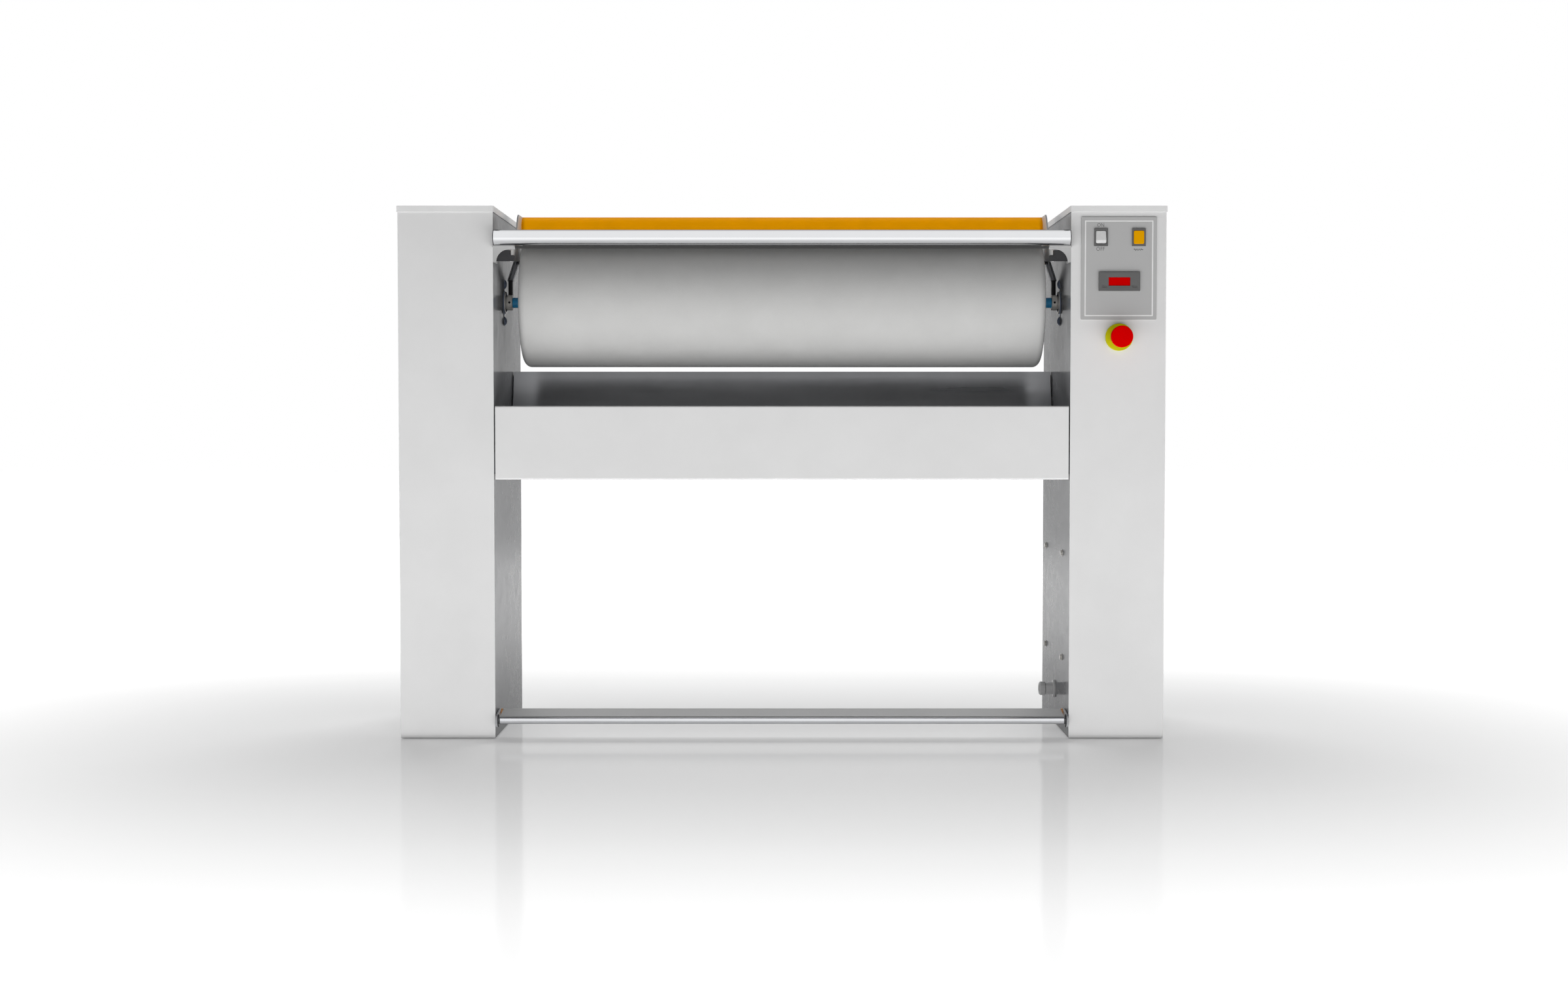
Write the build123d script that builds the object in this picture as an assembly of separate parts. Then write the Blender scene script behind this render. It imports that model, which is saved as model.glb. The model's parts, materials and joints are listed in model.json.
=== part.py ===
from build123d import *
import math
import os

# Flatwork ironer: a padded roll between two sheet-metal columns, with a heated chest
# that rises against it. Millimetres, +Z up, operator's side at -Y.
# Plan depths are written as distances behind the columns' front faces.

# ---------------------------------------------------------------- driving dimensions
# Overall
height = 1000.0                 # floor to cap
roll_length = 1000.0            # working width
roll_radius = 125.0
roll_end_gap = 40.0             # roll ends to the inner walls
column_width = 180.0            # inner wall to the cap's outer edge

# Sheet metal
sheet = 1.5                     # folded panels
wall_sheet = 3.0                # inner walls
bend = 3.0                      # outside radius of a fold
floor_gap = 2.0                 # shells above the floor
cap_skirt = 11.2                # cap's turned-down edge
cover_recess = 2.0              # back cover behind the shell's rear edge
fit_gap = 0.5                   # round a cover or panel that drops into a frame

# Column frames
post_leg = 25.0                 # angle posts
post_sheet = 3.0
base_height = 12.0              # underside of the base plate
foot_radius = 20.0
foot_pad = 8.0
foot_edge = 1.5
foot_stud = 5.0
foot_stud_length = 40.0
foot_hexagon = 9.5
foot_nut_radius = 8.5
foot_nut_thick = 7.0
foot_inset = 50.0               # stud centres from the front and rear faces

# Back cover
cover_screw_head = 4.5
cover_screw_rise = 1.6
cover_screw_dome = 0.96
cover_screw_shank = 2.4
cover_screw_play = 0.2
cover_screw_socket = 1.68
cover_screw_margin = 40.0       # end screws from the cover's ends
vent_count = 12
vent_pitch = 12.0
vent_length = 90.0
vent_width = 4.0
vent_end = 1.9                  # rounding of the vents' ends
vent_height = 230.0             # first vent above the floor

# Roll
roll_setback = 38.5             # roll behind the columns' front faces
roll_drop = 172.0               # roll axis below the top
roll_edge = 14.0                # rounding of the padded ends
cover_cloth = 1.6
padding = 9.0
drum_wall = 4.0
drum_disc = 8.0
disc_inset = 10.0
shaft_radius = 10.0

# Roll bearings
collar_radius = 15.0
collar_length = 11.0
collar_start = 6.0              # collar's end to the inner wall
collar_edge = 0.8
race_inner = 12.4
race_outer = 18.4
ring_radius = 21.5
ring_length = 12.0
ball_count = 9
running = 0.05                  # radial clearance of running fits
flange_sheet = 2.0
flange_bolt_pitch = 71.5
flange_ear = 11.0
flange_waist = 25.5
flange_bolt_head = 9.5
flange_bolt_shank = 4.0
flange_bolt_rise = 5.0
flange_bolt_dome = 4.0
flange_nut_radius = 7.2
flange_nut_thick = 6.4
grub_radius = 2.3

# Roll drive
pulley_width = 24.0
roll_pulley_radius = 80.0
motor_pulley_radius = 32.0
pulley_clear = 10.0             # pulleys to the left inner wall
motor_drop = 268.0              # motor shaft below the roll axis
motor_shaft_radius = 9.0
belt_thick = 5.0
belt_width = 18.0
belt_gap = 0.3
gearbox_size = 84.0
gearbox_edge = 12.0
gearbox_clear = 8.0
motor_radius = 52.0
motor_length = 170.0
motor_neck = 30.0
motor_ribs = 16
motor_rib = (6.0, 2.0)          # rib's width and thickness
motor_rib_low = 15.0            # ribs' lower ends above the motor's end
motor_rib_high = 40.0           # ribs' upper ends below the gearbox
shelf_sheet = 6.0
blind_end = 1.0                 # bottom of a blind bore beyond its shaft

# Chest
chest_gap = 2.0                 # padding to chest when closed
chest_travel = 131.0
chest_plate = 6.0
chest_lip_angle = 34.0          # front lip below the axis level
chest_side_gap = 2.0            # chest ends to the inner walls
heater_radius = 4.25
heater_count = 5
layer_gap = 0.25                # between heater rods and the layers beside them
insulation = 8.0
casing_sheet = 1.5
chest_end_sheet = 3.0

# Chest lift
lift_inset = 70.0               # racks from the roll's ends
tooth_module = 2.0
tooth_share = 0.19              # half a tooth over the pitch, thin enough to run free
tooth_slope = 20.0              # pressure angle
tooth_root = 2.5                # rack's teeth below the pitch line
tooth_root_sunk = 3.0           # pinion's teeth, sunk into its body
pinion_teeth = 15
pinion_width = 12.0
rack_width = 16.0
rack_body = 15.5
rack_gap = 4.0                  # casing to rack
rack_spare = 22.0               # rack left below the pinion when the chest is up
rack_top_drop = 7.0             # racks' tops below the resting chest's axis
saddle_width = 10.0
saddle_drop = 157.0             # saddles' lower ends below the chest's axis
saddle_reach = 110.0
lift_shaft_radius = 8.0
lift_shaft_drop = 57.0          # lift shaft below the resting chest's axis
lift_shaft_overhang = 14.0
guide_sheet = 6.0
guide_gap = 0.3
guide_height = 60.0
lift_box = 56.0
lift_box_edge = 8.0
lift_motor_radius = 42.0
lift_motor_length = 160.0
lift_motor_gap = 4.0            # motor to the inner wall

# Cross beams and panels
beam = 40.0
beam_wall = 3.0
beam_clear = 9.5                # pinion tips to the rear beam
front_beam_drop = 197.0         # front beam's underside below the chest's axis
panel_under = 11.0              # front panel's lower edge below the front beam
panel_drop = 70.0               # front panel's upper edge below the chest's axis
panel_gap = 2.5
panel_return = 25.0
rear_panel_drop = 5.0           # rear panel's upper edge below the chest's axis

# Feed bar
feed_bar_radius = 14.5
feed_bar_wall = 2.0
feed_bar_forward = 13.0         # bar axis in front of the columns
feed_bar_drop = 60.0            # bar axis below the top
feed_bar_gap = 2.5
bracket_reach = 41.5
bracket_drop = 30.0
bracket_sheet = 3.0
bracket_heel = 20.0             # bracket's side leg behind the guard's front
arch_radius = 24.0
arch_inset = 6.0                # arch's side from the inner wall
feed_plate_depth = 12.0
feed_plate_lip = 5.0
stop_low = 27.0                 # guard stops' levels below the bracket's top
stop_step = 16.5
stop_high = 7.5
stop_reach = 38.0
stop_reach_high = 31.0

# Finger guard
cheek_end_gap = 10.0            # cheeks from the roll's ends
cheek_sheet = 3.0
cheek_front = 23.0
cheek_nose = 10.5               # below the bracket's top
cheek_bottom = 26.5
cheek_chin = 17.0               # chin behind the nose
cheek_belly = (-13.5, 8.0)      # behind the roll axis, above the cheek's bottom
cheek_heel = 26.0               # rear of the belly above the cheek's bottom
cheek_brow = ((-3.5, 0.0), (-15.5, 7.0), (-33.5, 30.0))  # from the axis, below the top
guard_drop = 2.0                # guard's top below the columns' top
guard_rear = 72.5               # behind the roll axis
screen_sheet = 3.0
screen_rise = 9.0               # screen's lower edge above the roll
screen_low_depth = 42.5         # screen's edges behind the roll axis
screen_top_depth = 50.5
screen_bulge = 10.0
screen_sink = 1.0               # screen's top below the cheeks' top
arm_thick = 6.5
arm_width = 20.0
arm_bend = 4.0
arm_straight = 44.0             # straight part above the pivot
arm_joggle = 33.0
pivot_behind = 33.5             # guard's pivot behind the roll axis
pivot_radius = 5.0
arm_wall_gap = 7.0
pin_boss = 7.0

# Pedal
pedal_radius = 6.0
pedal_wall = 2.0
pedal_depth = 3.0
pedal_height = 34.3
pedal_pivot_depth = 50.0
pedal_pivot_height = 44.0
pedal_pivot_radius = 4.0
pedal_plate_rear = 66.0
pedal_plate_top = 50.0
pedal_plate_sheet = 2.0
pedal_plate_bend = 2.5
pedal_plate_hem = 8.0
lever_thick = 4.0
lever_gap = 1.0
lever_end = 12.0                 # lever's round end about the tube
lever_eye = 8.0
pin_head = 2.0                  # heads of the pivot pins

# Controls on the right column
plate_margin = 18.75            # control plate's sides from the column's sides
plate_drop = 20.6               # plate's top below the column's top
plate_tall = 191.4
plate_sheet = 2.0
plate_corner = 2.0
switch_left = 33.75             # switch and lamp from the column's middle
lamp_right = 36.75
switch_drop = 38.1              # below the plate's top
bezel_width = 25.5
bezel_height = 33.0
bezel_rise = 2.5
bezel_corner = 2.0
bezel_edge = 0.6
window_width = 19.3
window_height = 24.6
window_corner = 0.8
window_gap = 0.5
switch_body = 24.0              # behind the plate
switch_wall = 1.2
switch_corner = 1.0
rocker_swing = 7.0              # each way from flat
rocker_pivot = 4.0              # pivot behind the column's face
rocker_face = 8.0               # pivot to the rocker's face
rocker_back = 3.0
rocker_stub = 1.5
lens_rise = 1.0                 # lens in front of its bezel
lens_corner = 1.5
dial_right = 0.75               # controller and stop from the column's middle
controller_drop = 120.4         # below the plate's top
controller_width = 77.3
controller_tall = 35.3
controller_corner = 2.5
controller_rise = 4.0
controller_frame = (4.0, 3.0)   # frame beyond its cut-out, sideways and up
controller_body = 60.0
controller_shell = 2.0
display_width = 40.0
display_height = 15.4
display_sheet = 2.0
key_width = 8.0
key_height = 2.6
key_corner = 0.8
key_drop = 9.0                  # keys below the display's middle
key_spread = 28.0
key_rise = 0.8
key_length = 4.0
key_gap = 0.3
estop_drop = 32.6               # below the plate's lower edge
estop_base_radius = 25.5
estop_base_rise = 8.0
estop_base_edge = 2.0
estop_barrel = 11.0
estop_collar = 12.0
estop_barrel_length = 30.0
estop_head_radius = 20.25
estop_head_thick = 13.0
estop_head_edge = (5.0, 2.0)    # front and rear rounding
estop_reach = 45.0
estop_travel = 5.0
estop_stem_radius = 6.0
estop_nut_radius = 15.0
estop_nut_thick = 5.0
contact_block = 32.0
contact_block_depth = 34.0
contact_block_edge = 3.0

# Right inner wall fittings and control box
wall_bolt_front = 105.0
wall_bolt_inset = 60.0          # rear bolts from the rear edge
wall_bolt_low = 143.5
wall_bolt_under = 144.0         # upper bolts below the front panel
wall_bolt_head = 5.5
wall_bolt_rise = 4.0
wall_bolt_shank = 3.0
washer_sheet = 1.0
washer_radius = 6.6
box_margin = 18.0
box_thick = 95.0
box_sheet = 2.0
rail_thick = 8.0
rail_height = 35.0
rail_inset = 20.0
contactor_count = 4
contactor = (72.0, 45.0, 76.0)  # off the rail, along it, up
contactor_pitch = 52.0
contactor_start = 30.0
gland_depth = 217.0
gland_height = 69.0
gland_radius = 12.0
gland_cap_radius = 13.5
gland_cap_edge = 2.5
gland_bore = 7.0
gland_reach = 31.0
gland_cap_length = 12.0
gland_flange = 17.0
gland_flange_thick = 4.0
gland_thread = 10.0
gland_thread_length = 10.0      # behind the wall
gland_nut_radius = 15.0
gland_nut_thick = 5.0

# ---------------------------------------------------------------- derived places
roll_half = roll_length / 2
inner_x = roll_half + roll_end_gap
outer_x = inner_x + column_width - sheet
column_middle = (inner_x + outer_x) / 2
wall_back = inner_x + wall_sheet
shell_inside = outer_x - sheet
lid_z = height - sheet

roll_depth = roll_setback + roll_radius
roll_height = height - roll_drop
chest_inner = roll_radius + chest_gap
chest_height = roll_height - chest_travel
heater_ring = chest_inner + chest_plate + layer_gap + heater_radius
insulation_inner = heater_ring + heater_radius + layer_gap
casing_inner = insulation_inner + insulation
casing_outer = casing_inner + casing_sheet
chest_half = inner_x - chest_side_gap

lift_x = roll_half - lift_inset
lift_shaft_height = chest_height - lift_shaft_drop
rack_front = roll_depth + casing_outer + rack_gap
pitch_radius = tooth_module * pinion_teeth / 2
tooth_half = tooth_share * math.pi * tooth_module
rack_root = rack_front + rack_body
rack_pitch_line = rack_root + tooth_root
rack_low = lift_shaft_height - chest_travel - rack_spare
rack_high = chest_height - rack_top_drop
lift_depth = rack_pitch_line + pitch_radius

rear_beam_depth = lift_depth + pitch_radius + tooth_module + beam_clear
depth = rear_beam_depth + beam + sheet
front_y = -(depth + sheet - estop_reach) / 2
cover_face = depth - cover_recess
cover_back = cover_face - sheet
front_beam_height = chest_height - front_beam_drop
panel_low = front_beam_height - panel_under

feed_bar_height = height - feed_bar_drop
bracket_top = feed_bar_height - feed_bar_radius
cheek_inside = roll_half + cheek_end_gap
cheek_outside = cheek_inside + cheek_sheet
guard_top = height - guard_drop
screen_low = roll_height + roll_radius + screen_rise
pivot_depth = roll_depth + pivot_behind

motor_z = roll_height - motor_drop
pulley_near = wall_back + pulley_clear
pulley_far = pulley_near + pulley_width
gearbox_x = pulley_far + gearbox_clear + gearbox_size / 2

plate_high = height - plate_drop
plate_low = plate_high - plate_tall
switch_x = column_middle - switch_left
lamp_x = column_middle + lamp_right
switch_height = plate_high - switch_drop
dial_x = column_middle + dial_right
controller_height = plate_high - controller_drop
controller_hole = (controller_width - 2 * controller_frame[0],
                   controller_tall - 2 * controller_frame[1])
estop_height = plate_low - estop_drop
estop_middle = (estop_base_rise + estop_reach - estop_head_thick) / 2
wall_bolt_rear = depth - wall_bolt_inset
wall_bolt_high = panel_low - wall_bolt_under


# ---------------------------------------------------------------- helpers
def at(distance):
    """Y of a plane so far behind the columns' front faces."""
    return front_y + distance


def block(x0, x1, d0, d1, z0, z1):
    """Box between two x, two depths and two heights."""
    middle = Pos((x0 + x1) / 2, at((d0 + d1) / 2), (z0 + z1) / 2)
    return middle * Box(abs(x1 - x0), abs(d1 - d0), abs(z1 - z0))


def rod_x(x0, x1, d, z, radius):
    """Cylinder along X."""
    return Pos((x0 + x1) / 2, at(d), z) * Rot(0, 90, 0) * Cylinder(radius, abs(x1 - x0))


def bore_x(d, z, radius):
    """Cutter along X through everything right of the middle."""
    return rod_x(0, inner_x + column_width, d, z, radius)


def rod_y(d0, d1, x, z, radius):
    """Cylinder along Y."""
    return Pos(x, at((d0 + d1) / 2), z) * Rot(90, 0, 0) * Cylinder(radius, abs(d1 - d0))


def rod_z(z0, z1, x, d, radius):
    """Cylinder along Z."""
    return Pos(x, at(d), (z0 + z1) / 2) * Cylinder(radius, abs(z1 - z0))


def side_view(face, x0, x1):
    """Extrudes a face, drawn with depth to the right and height up, from x0 to x1."""
    plane = Plane(origin=(min(x0, x1), front_y, 0), x_dir=(0, 1, 0), z_dir=(1, 0, 0))
    return extrude(plane * face, abs(x1 - x0))


def front_view(face, d0, d1):
    """Extrudes a face, drawn with x to the right and height up, from depth d0 to d1."""
    plane = Plane(origin=(0, at(d1), 0), x_dir=(1, 0, 0), z_dir=(0, -1, 0))
    return extrude(plane * face, d1 - d0)


def top_view(face, z0, z1):
    """Extrudes a face, drawn with x to the right and depth up, from z0 to z1."""
    return extrude(Pos(0, front_y, z0) * face, z1 - z0)


def polygon(*points):
    return make_face(Polyline(*points, close=True))


def strip(points, thickness, radius):
    """Bent strip of one thickness along a line, with the line as its middle."""
    return trace(FilletPolyline(*points, radius=radius), thickness)


def rounded(width_, height_, radius, x=0.0, y=0.0):
    return Pos(x, y) * RectangleRounded(width_, height_, radius)


def ring_sector(r0, r1, start, end):
    """Part of a ring between two angles, in degrees from the rear level, downwards."""
    def point(radius, angle):
        turn = math.radians(-angle)
        return (radius * math.cos(turn), radius * math.sin(turn))

    middle = (start + end) / 2
    outer = ThreePointArc(point(r1, start), point(r1, middle), point(r1, end))
    inner = ThreePointArc(point(r0, end), point(r0, middle), point(r0, start))
    return make_face([outer, Line(outer @ 1, inner @ 0), inner, Line(inner @ 1, outer @ 0)])


def mirrored(part):
    return part.mirror(Plane.YZ)


def both(part):
    """The piece on the right and its mirror image on the left."""
    return [part, mirrored(part)]


def hexagon(radius):
    return RegularPolygon(radius, 6)


nodes = {}


def save(name, *parts):
    """Writes one node: each part is a separate solid in it."""
    solids = []
    for part in parts:
        solids.extend(part.solids() if hasattr(part, "solids") else part)
    nodes[name] = solids
    shape = solids[0] if len(solids) == 1 else Compound(children=solids)
    export_step(shape, f"parts/{name}.step")


# ---------------------------------------------------------------- columns
def column_frame():
    """Four angle posts on a base plate, for the right column."""
    section = trace(
        FilletPolyline((0, post_leg), (0, 0), (post_leg, 0), radius=post_sheet), post_sheet
    )
    low = base_height
    high = low + post_sheet
    inset = post_sheet / 2
    near, far = wall_back + inset, shell_inside - inset
    front, rear = sheet + inset, cover_back - inset
    frame = block(wall_back, shell_inside - sheet, sheet, cover_back, low, high)
    for quarter, (x, d) in enumerate(((near, front), (far, front), (far, rear), (near, rear))):
        frame += top_view(Pos(x, d) * Rot(0, 0, 90 * quarter) * section, low, lid_z)
    for d in (foot_inset, depth - foot_inset):
        frame -= rod_z(low, high, column_middle, d, foot_stud + running)
    return frame


def motor_shelf():
    """Shelf welded across the left column's front posts, for the roll's gearmotor."""
    low = motor_z - gearbox_size / 2 - shelf_sheet
    start = sheet + post_leg - post_sheet
    end = roll_depth + gearbox_size
    shelf = block(-shell_inside, -wall_back, start, end, low, low + shelf_sheet)
    shelf += block(-wall_back - shelf_sheet, -wall_back, start, end, low - gearbox_size / 2, low)
    return shelf - rod_z(low, low + shelf_sheet, -gearbox_x, roll_depth, motor_neck + fit_gap)


def foot(x, d):
    """Levelling foot: pad, adjusting hexagon and stud in one piece."""
    solid = rod_z(0, foot_pad, x, d, foot_radius)
    solid = chamfer(solid.edges().filter_by(GeomType.CIRCLE), foot_edge)
    solid += top_view(Pos(x, d) * hexagon(foot_hexagon), foot_pad, base_height)
    return solid + rod_z(foot_pad, foot_stud_length, x, d, foot_stud)


def foot_nut(x, d):
    """Lock nut on the base plate."""
    low = base_height + post_sheet
    high = low + foot_nut_thick
    nut = top_view(Pos(x, d) * hexagon(foot_nut_radius), low, high)
    return nut - rod_z(low, high, x, d, foot_stud)


def column_shell():
    """Front and outer side of the right column, folded from one sheet."""
    half = sheet / 2
    line = [(inner_x, half), (outer_x - half, half), (outer_x - half, depth)]
    return top_view(strip(line, sheet, bend - half), floor_gap, lid_z)


def control_cutouts():
    """Openings for the controls through the plate and the right column's front."""
    reach = (-plate_sheet, sheet)
    cuts = []
    for x in (switch_x, lamp_x):
        hole = rounded(window_width + 2 * switch_wall + 2 * window_gap,
                       window_height + 2 * switch_wall + 2 * window_gap, switch_corner,
                       x, switch_height)
        cuts.append(front_view(hole, *reach))
    hole = rounded(*controller_hole, switch_corner, dial_x, controller_height)
    cuts.append(front_view(hole, *reach))
    return cuts


def inner_wall():
    """Right inner wall, bored for the roll bearing."""
    wall = block(inner_x, wall_back, sheet, depth, floor_gap, lid_z)
    wall -= rod_x(inner_x, wall_back, roll_depth, roll_height, ring_radius + fit_gap)
    for z in (-flange_bolt_pitch / 2, flange_bolt_pitch / 2):
        wall -= rod_x(inner_x, wall_back, roll_depth, roll_height + z, flange_bolt_shank)
    return wall


def cap():
    """Lid of the right column with its skirt outside the shell."""
    lid = block(inner_x - sheet, outer_x + sheet, -sheet, depth + sheet, height - cap_skirt, height)
    corners = lid.edges().filter_by(Axis.Z)
    lid = fillet(corners, bend)
    return lid - block(inner_x, outer_x, 0, depth, height - cap_skirt, lid_z)


def back_cover():
    """Right back cover with its rows of vent slots."""
    x0 = wall_back + fit_gap
    x1 = shell_inside - fit_gap
    cover = block(x0, x1, cover_back, cover_face, floor_gap + base_height, lid_z - fit_gap)
    middle = (x0 + x1) / 2
    for row in range(vent_count):
        slot = rounded(vent_length, vent_width, vent_end, middle, vent_height + row * vent_pitch)
        cover -= front_view(slot, cover_back, cover_face)
    for x, z in cover_screw_places():
        cover -= rod_y(cover_back, cover_face, x, z, cover_screw_shank + cover_screw_play)
    return cover


def cover_screw_places():
    edge = post_leg / 2
    ends = (floor_gap + base_height + cover_screw_margin, lid_z - cover_screw_margin)
    middle = sum(ends) / 2
    return [(x, z) for x in (wall_back + edge, shell_inside - edge) for z in (*ends, middle)]


def cover_screw(x, z):
    """Domed screw through the cover into a post."""
    head = rod_y(cover_face, cover_face + cover_screw_rise, x, z, cover_screw_head)
    head = fillet(head.edges().group_by(Axis.Y)[-1], cover_screw_dome)
    head -= front_view(Pos(x, z) * hexagon(cover_screw_socket), cover_face + fit_gap,
                       cover_face + cover_screw_rise)
    return head + rod_y(cover_back, cover_face, x, z, cover_screw_shank)


def columns():
    frame = column_frame()
    save("column_frames", frame, mirrored(frame) + motor_shelf())

    places = [(side * column_middle, d) for side in (1, -1)
              for d in (foot_inset, depth - foot_inset)]
    save("levelling_feet", *[foot(*p) for p in places], *[foot_nut(*p) for p in places])

    shell = column_shell()
    save("left_column_shell", mirrored(shell))
    right = shell
    for cut in control_cutouts():
        right -= cut
    right -= rod_y(0, sheet, dial_x, estop_height, estop_barrel + fit_gap)
    save("right_column_shell", right)

    wall = inner_wall()
    right_wall = wall
    for d, z in wall_bolt_places():
        right_wall -= rod_x(inner_x, wall_back, d, z, wall_bolt_shank)
    right_wall -= rod_x(inner_x, wall_back, gland_depth, gland_height, gland_thread)
    right_wall -= rod_x(inner_x, wall_back, lift_depth, lift_shaft_height,
                        lift_shaft_radius + fit_gap)
    save("inner_walls", right_wall, mirrored(wall))

    save("column_caps", *both(cap()))
    save("back_covers", *both(back_cover()))
    screws = []
    for x, z in cover_screw_places():
        screws += both(cover_screw(x, z))
    save("cover_screws", *screws)


# ---------------------------------------------------------------- cross beams and panel
def square_tube(d0, z0):
    """Square tube from wall to wall."""
    tube = block(-inner_x, inner_x, d0, d0 + beam, z0, z0 + beam)
    return tube - block(-inner_x, inner_x, d0 + beam_wall, d0 + beam - beam_wall,
                        z0 + beam_wall, z0 + beam - beam_wall)


def tray(face, back, low, high):
    """Panel between the walls, folded back at its top and bottom edges."""
    half = math.copysign(sheet / 2, back - face)
    edge = sheet / 2
    line = [(back, low + edge), (face + half, low + edge),
            (face + half, high - edge), (back, high - edge)]
    reach = inner_x - panel_gap
    return side_view(strip(line, sheet, bend - edge), -reach, reach)


def cross_members():
    save("cross_beams", square_tube(sheet, front_beam_height),
         square_tube(rear_beam_depth, lift_shaft_height - beam / 2))
    save("front_panel", tray(0, panel_return, panel_low, chest_height - panel_drop))
    save("rear_panel", tray(depth, depth - panel_return, rack_low,
                            chest_height - rear_panel_drop))


# ---------------------------------------------------------------- feed bar
def feed_bar():
    reach = inner_x - feed_bar_gap
    d, z = -feed_bar_forward, feed_bar_height
    tube = rod_x(-reach, reach, d, z, feed_bar_radius)
    bore = feed_bar_radius - feed_bar_wall
    tube -= rod_x(-reach + feed_bar_wall, reach - feed_bar_wall, d, z, bore)
    save("feed_bar", tube)

    top = bracket_top
    low = top - bracket_drop
    tip = inner_x - bracket_reach
    third = tip + bracket_reach / 3
    face = polygon((tip, top), (inner_x, top), (inner_x, low), (tip, low))
    arch = Pos(inner_x - arch_inset - arch_radius, low) * Circle(arch_radius)
    cut = polygon((tip, low), (third, low), (third, low + arch_radius), (tip, low + arch_radius))
    bracket = front_view(face - arch - cut, 0, bracket_sheet)
    side = inner_x - bracket_sheet
    bracket += block(side, inner_x, 0, cheek_front + bracket_heel, low, top)
    bracket += block(tip, inner_x, -feed_bar_forward, 0, top - bracket_sheet, top)
    save("bar_brackets", *both(bracket))

    plate = block(-tip, tip, 0, bracket_sheet + feed_plate_depth, top - sheet, top)
    plate += block(-tip, tip, 0, sheet, top - feed_plate_lip, top)
    save("feed_plate", plate)

    near, far = inner_x - stop_reach, inner_x - stop_reach_high
    outline = polygon((side, top - stop_low), (side, top - stop_high), (far, top - stop_high),
                      (far, top - stop_step), (near, top - stop_step), (near, top - stop_low))
    save("guard_stops", *both(front_view(outline, bracket_sheet, cheek_front - guide_gap)))


# ---------------------------------------------------------------- roll and its bearings
def tube_x(x0, x1, inner, outer, d=roll_depth, z=roll_height):
    return rod_x(x0, x1, d, z, outer) - rod_x(x0, x1, d, z, inner)


def roll():
    half = roll_half
    pad_outer = roll_radius - cover_cloth
    drum_outer = pad_outer - padding
    drum_inner = drum_outer - drum_wall
    body_half = half - cover_cloth
    disc = half - disc_inset

    edge = roll_edge - cover_cloth
    sag = edge - math.sqrt(edge ** 2 - max(0.0, edge - padding) ** 2)
    drum = tube_x(sag - body_half, body_half - sag, drum_inner, drum_outer)
    for end in (-1, 1):
        drum += tube_x(end * (disc - drum_disc), end * disc, shaft_radius, drum_inner)
    save("roll_drum", drum)

    pad = rod_x(-body_half, body_half, roll_depth, roll_height, pad_outer)
    pad = fillet(pad.edges().filter_by(GeomType.CIRCLE), edge)
    pad -= rod_x(-body_half, body_half, roll_depth, roll_height, drum_outer)
    save("roll_padding", pad)

    cloth = rod_x(-half, half, roll_depth, roll_height, roll_radius)
    cloth = fillet(cloth.edges().filter_by(GeomType.CIRCLE), roll_edge)
    hollow = rod_x(-body_half, body_half, roll_depth, roll_height, pad_outer)
    hollow = fillet(hollow.edges().filter_by(GeomType.CIRCLE), edge)
    cloth -= hollow
    cloth -= rod_x(-half, half, roll_depth, roll_height, drum_inner)
    save("roll_cover", cloth)

    left_end = -pulley_far
    right_end = wall_back + ring_length
    save("roll_shaft", rod_x(left_end, right_end, roll_depth, roll_height, shaft_radius))

    near = inner_x - collar_start
    collar = rod_x(near - collar_length, near, roll_depth, roll_height, collar_radius)
    collar = chamfer(collar.edges().filter_by(GeomType.CIRCLE), collar_edge)
    grub_x = near - collar_length / 2
    collar -= rod_y(roll_depth - collar_radius, roll_depth, grub_x, roll_height, grub_radius)
    collar += rod_x(near, near + ring_length + flange_sheet, roll_depth, roll_height, race_inner)
    collar -= bore_x(roll_depth, roll_height, shaft_radius)
    save("bearing_collars", *both(collar))

    ring_near = near + flange_sheet
    ring = tube_x(ring_near, ring_near + ring_length, race_outer, ring_radius)
    ball_ring = (race_inner + race_outer) / 2
    ball_radius = (race_outer - race_inner) / 2 - running
    races = both(ring)
    for index in range(ball_count):
        turn = 2 * math.pi * index / ball_count
        ball = Pos(ring_near + ring_length / 2, at(roll_depth + ball_ring * math.cos(turn)),
                   roll_height + ball_ring * math.sin(turn)) * Sphere(ball_radius)
        races += both(ball)
    save("bearing_races", *races)
    bearing_flanges(ring_near)


def oval(extra=0.0):
    """Two-bolt flange outline about the roll axis."""
    ears = flange_bolt_pitch / 2
    shape = Pos(roll_depth, roll_height) * Circle(flange_waist + extra)
    for z in (-ears, ears):
        shape += Pos(roll_depth, roll_height + z) * Circle(flange_ear + extra)
    return make_hull(shape.edges())


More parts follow.
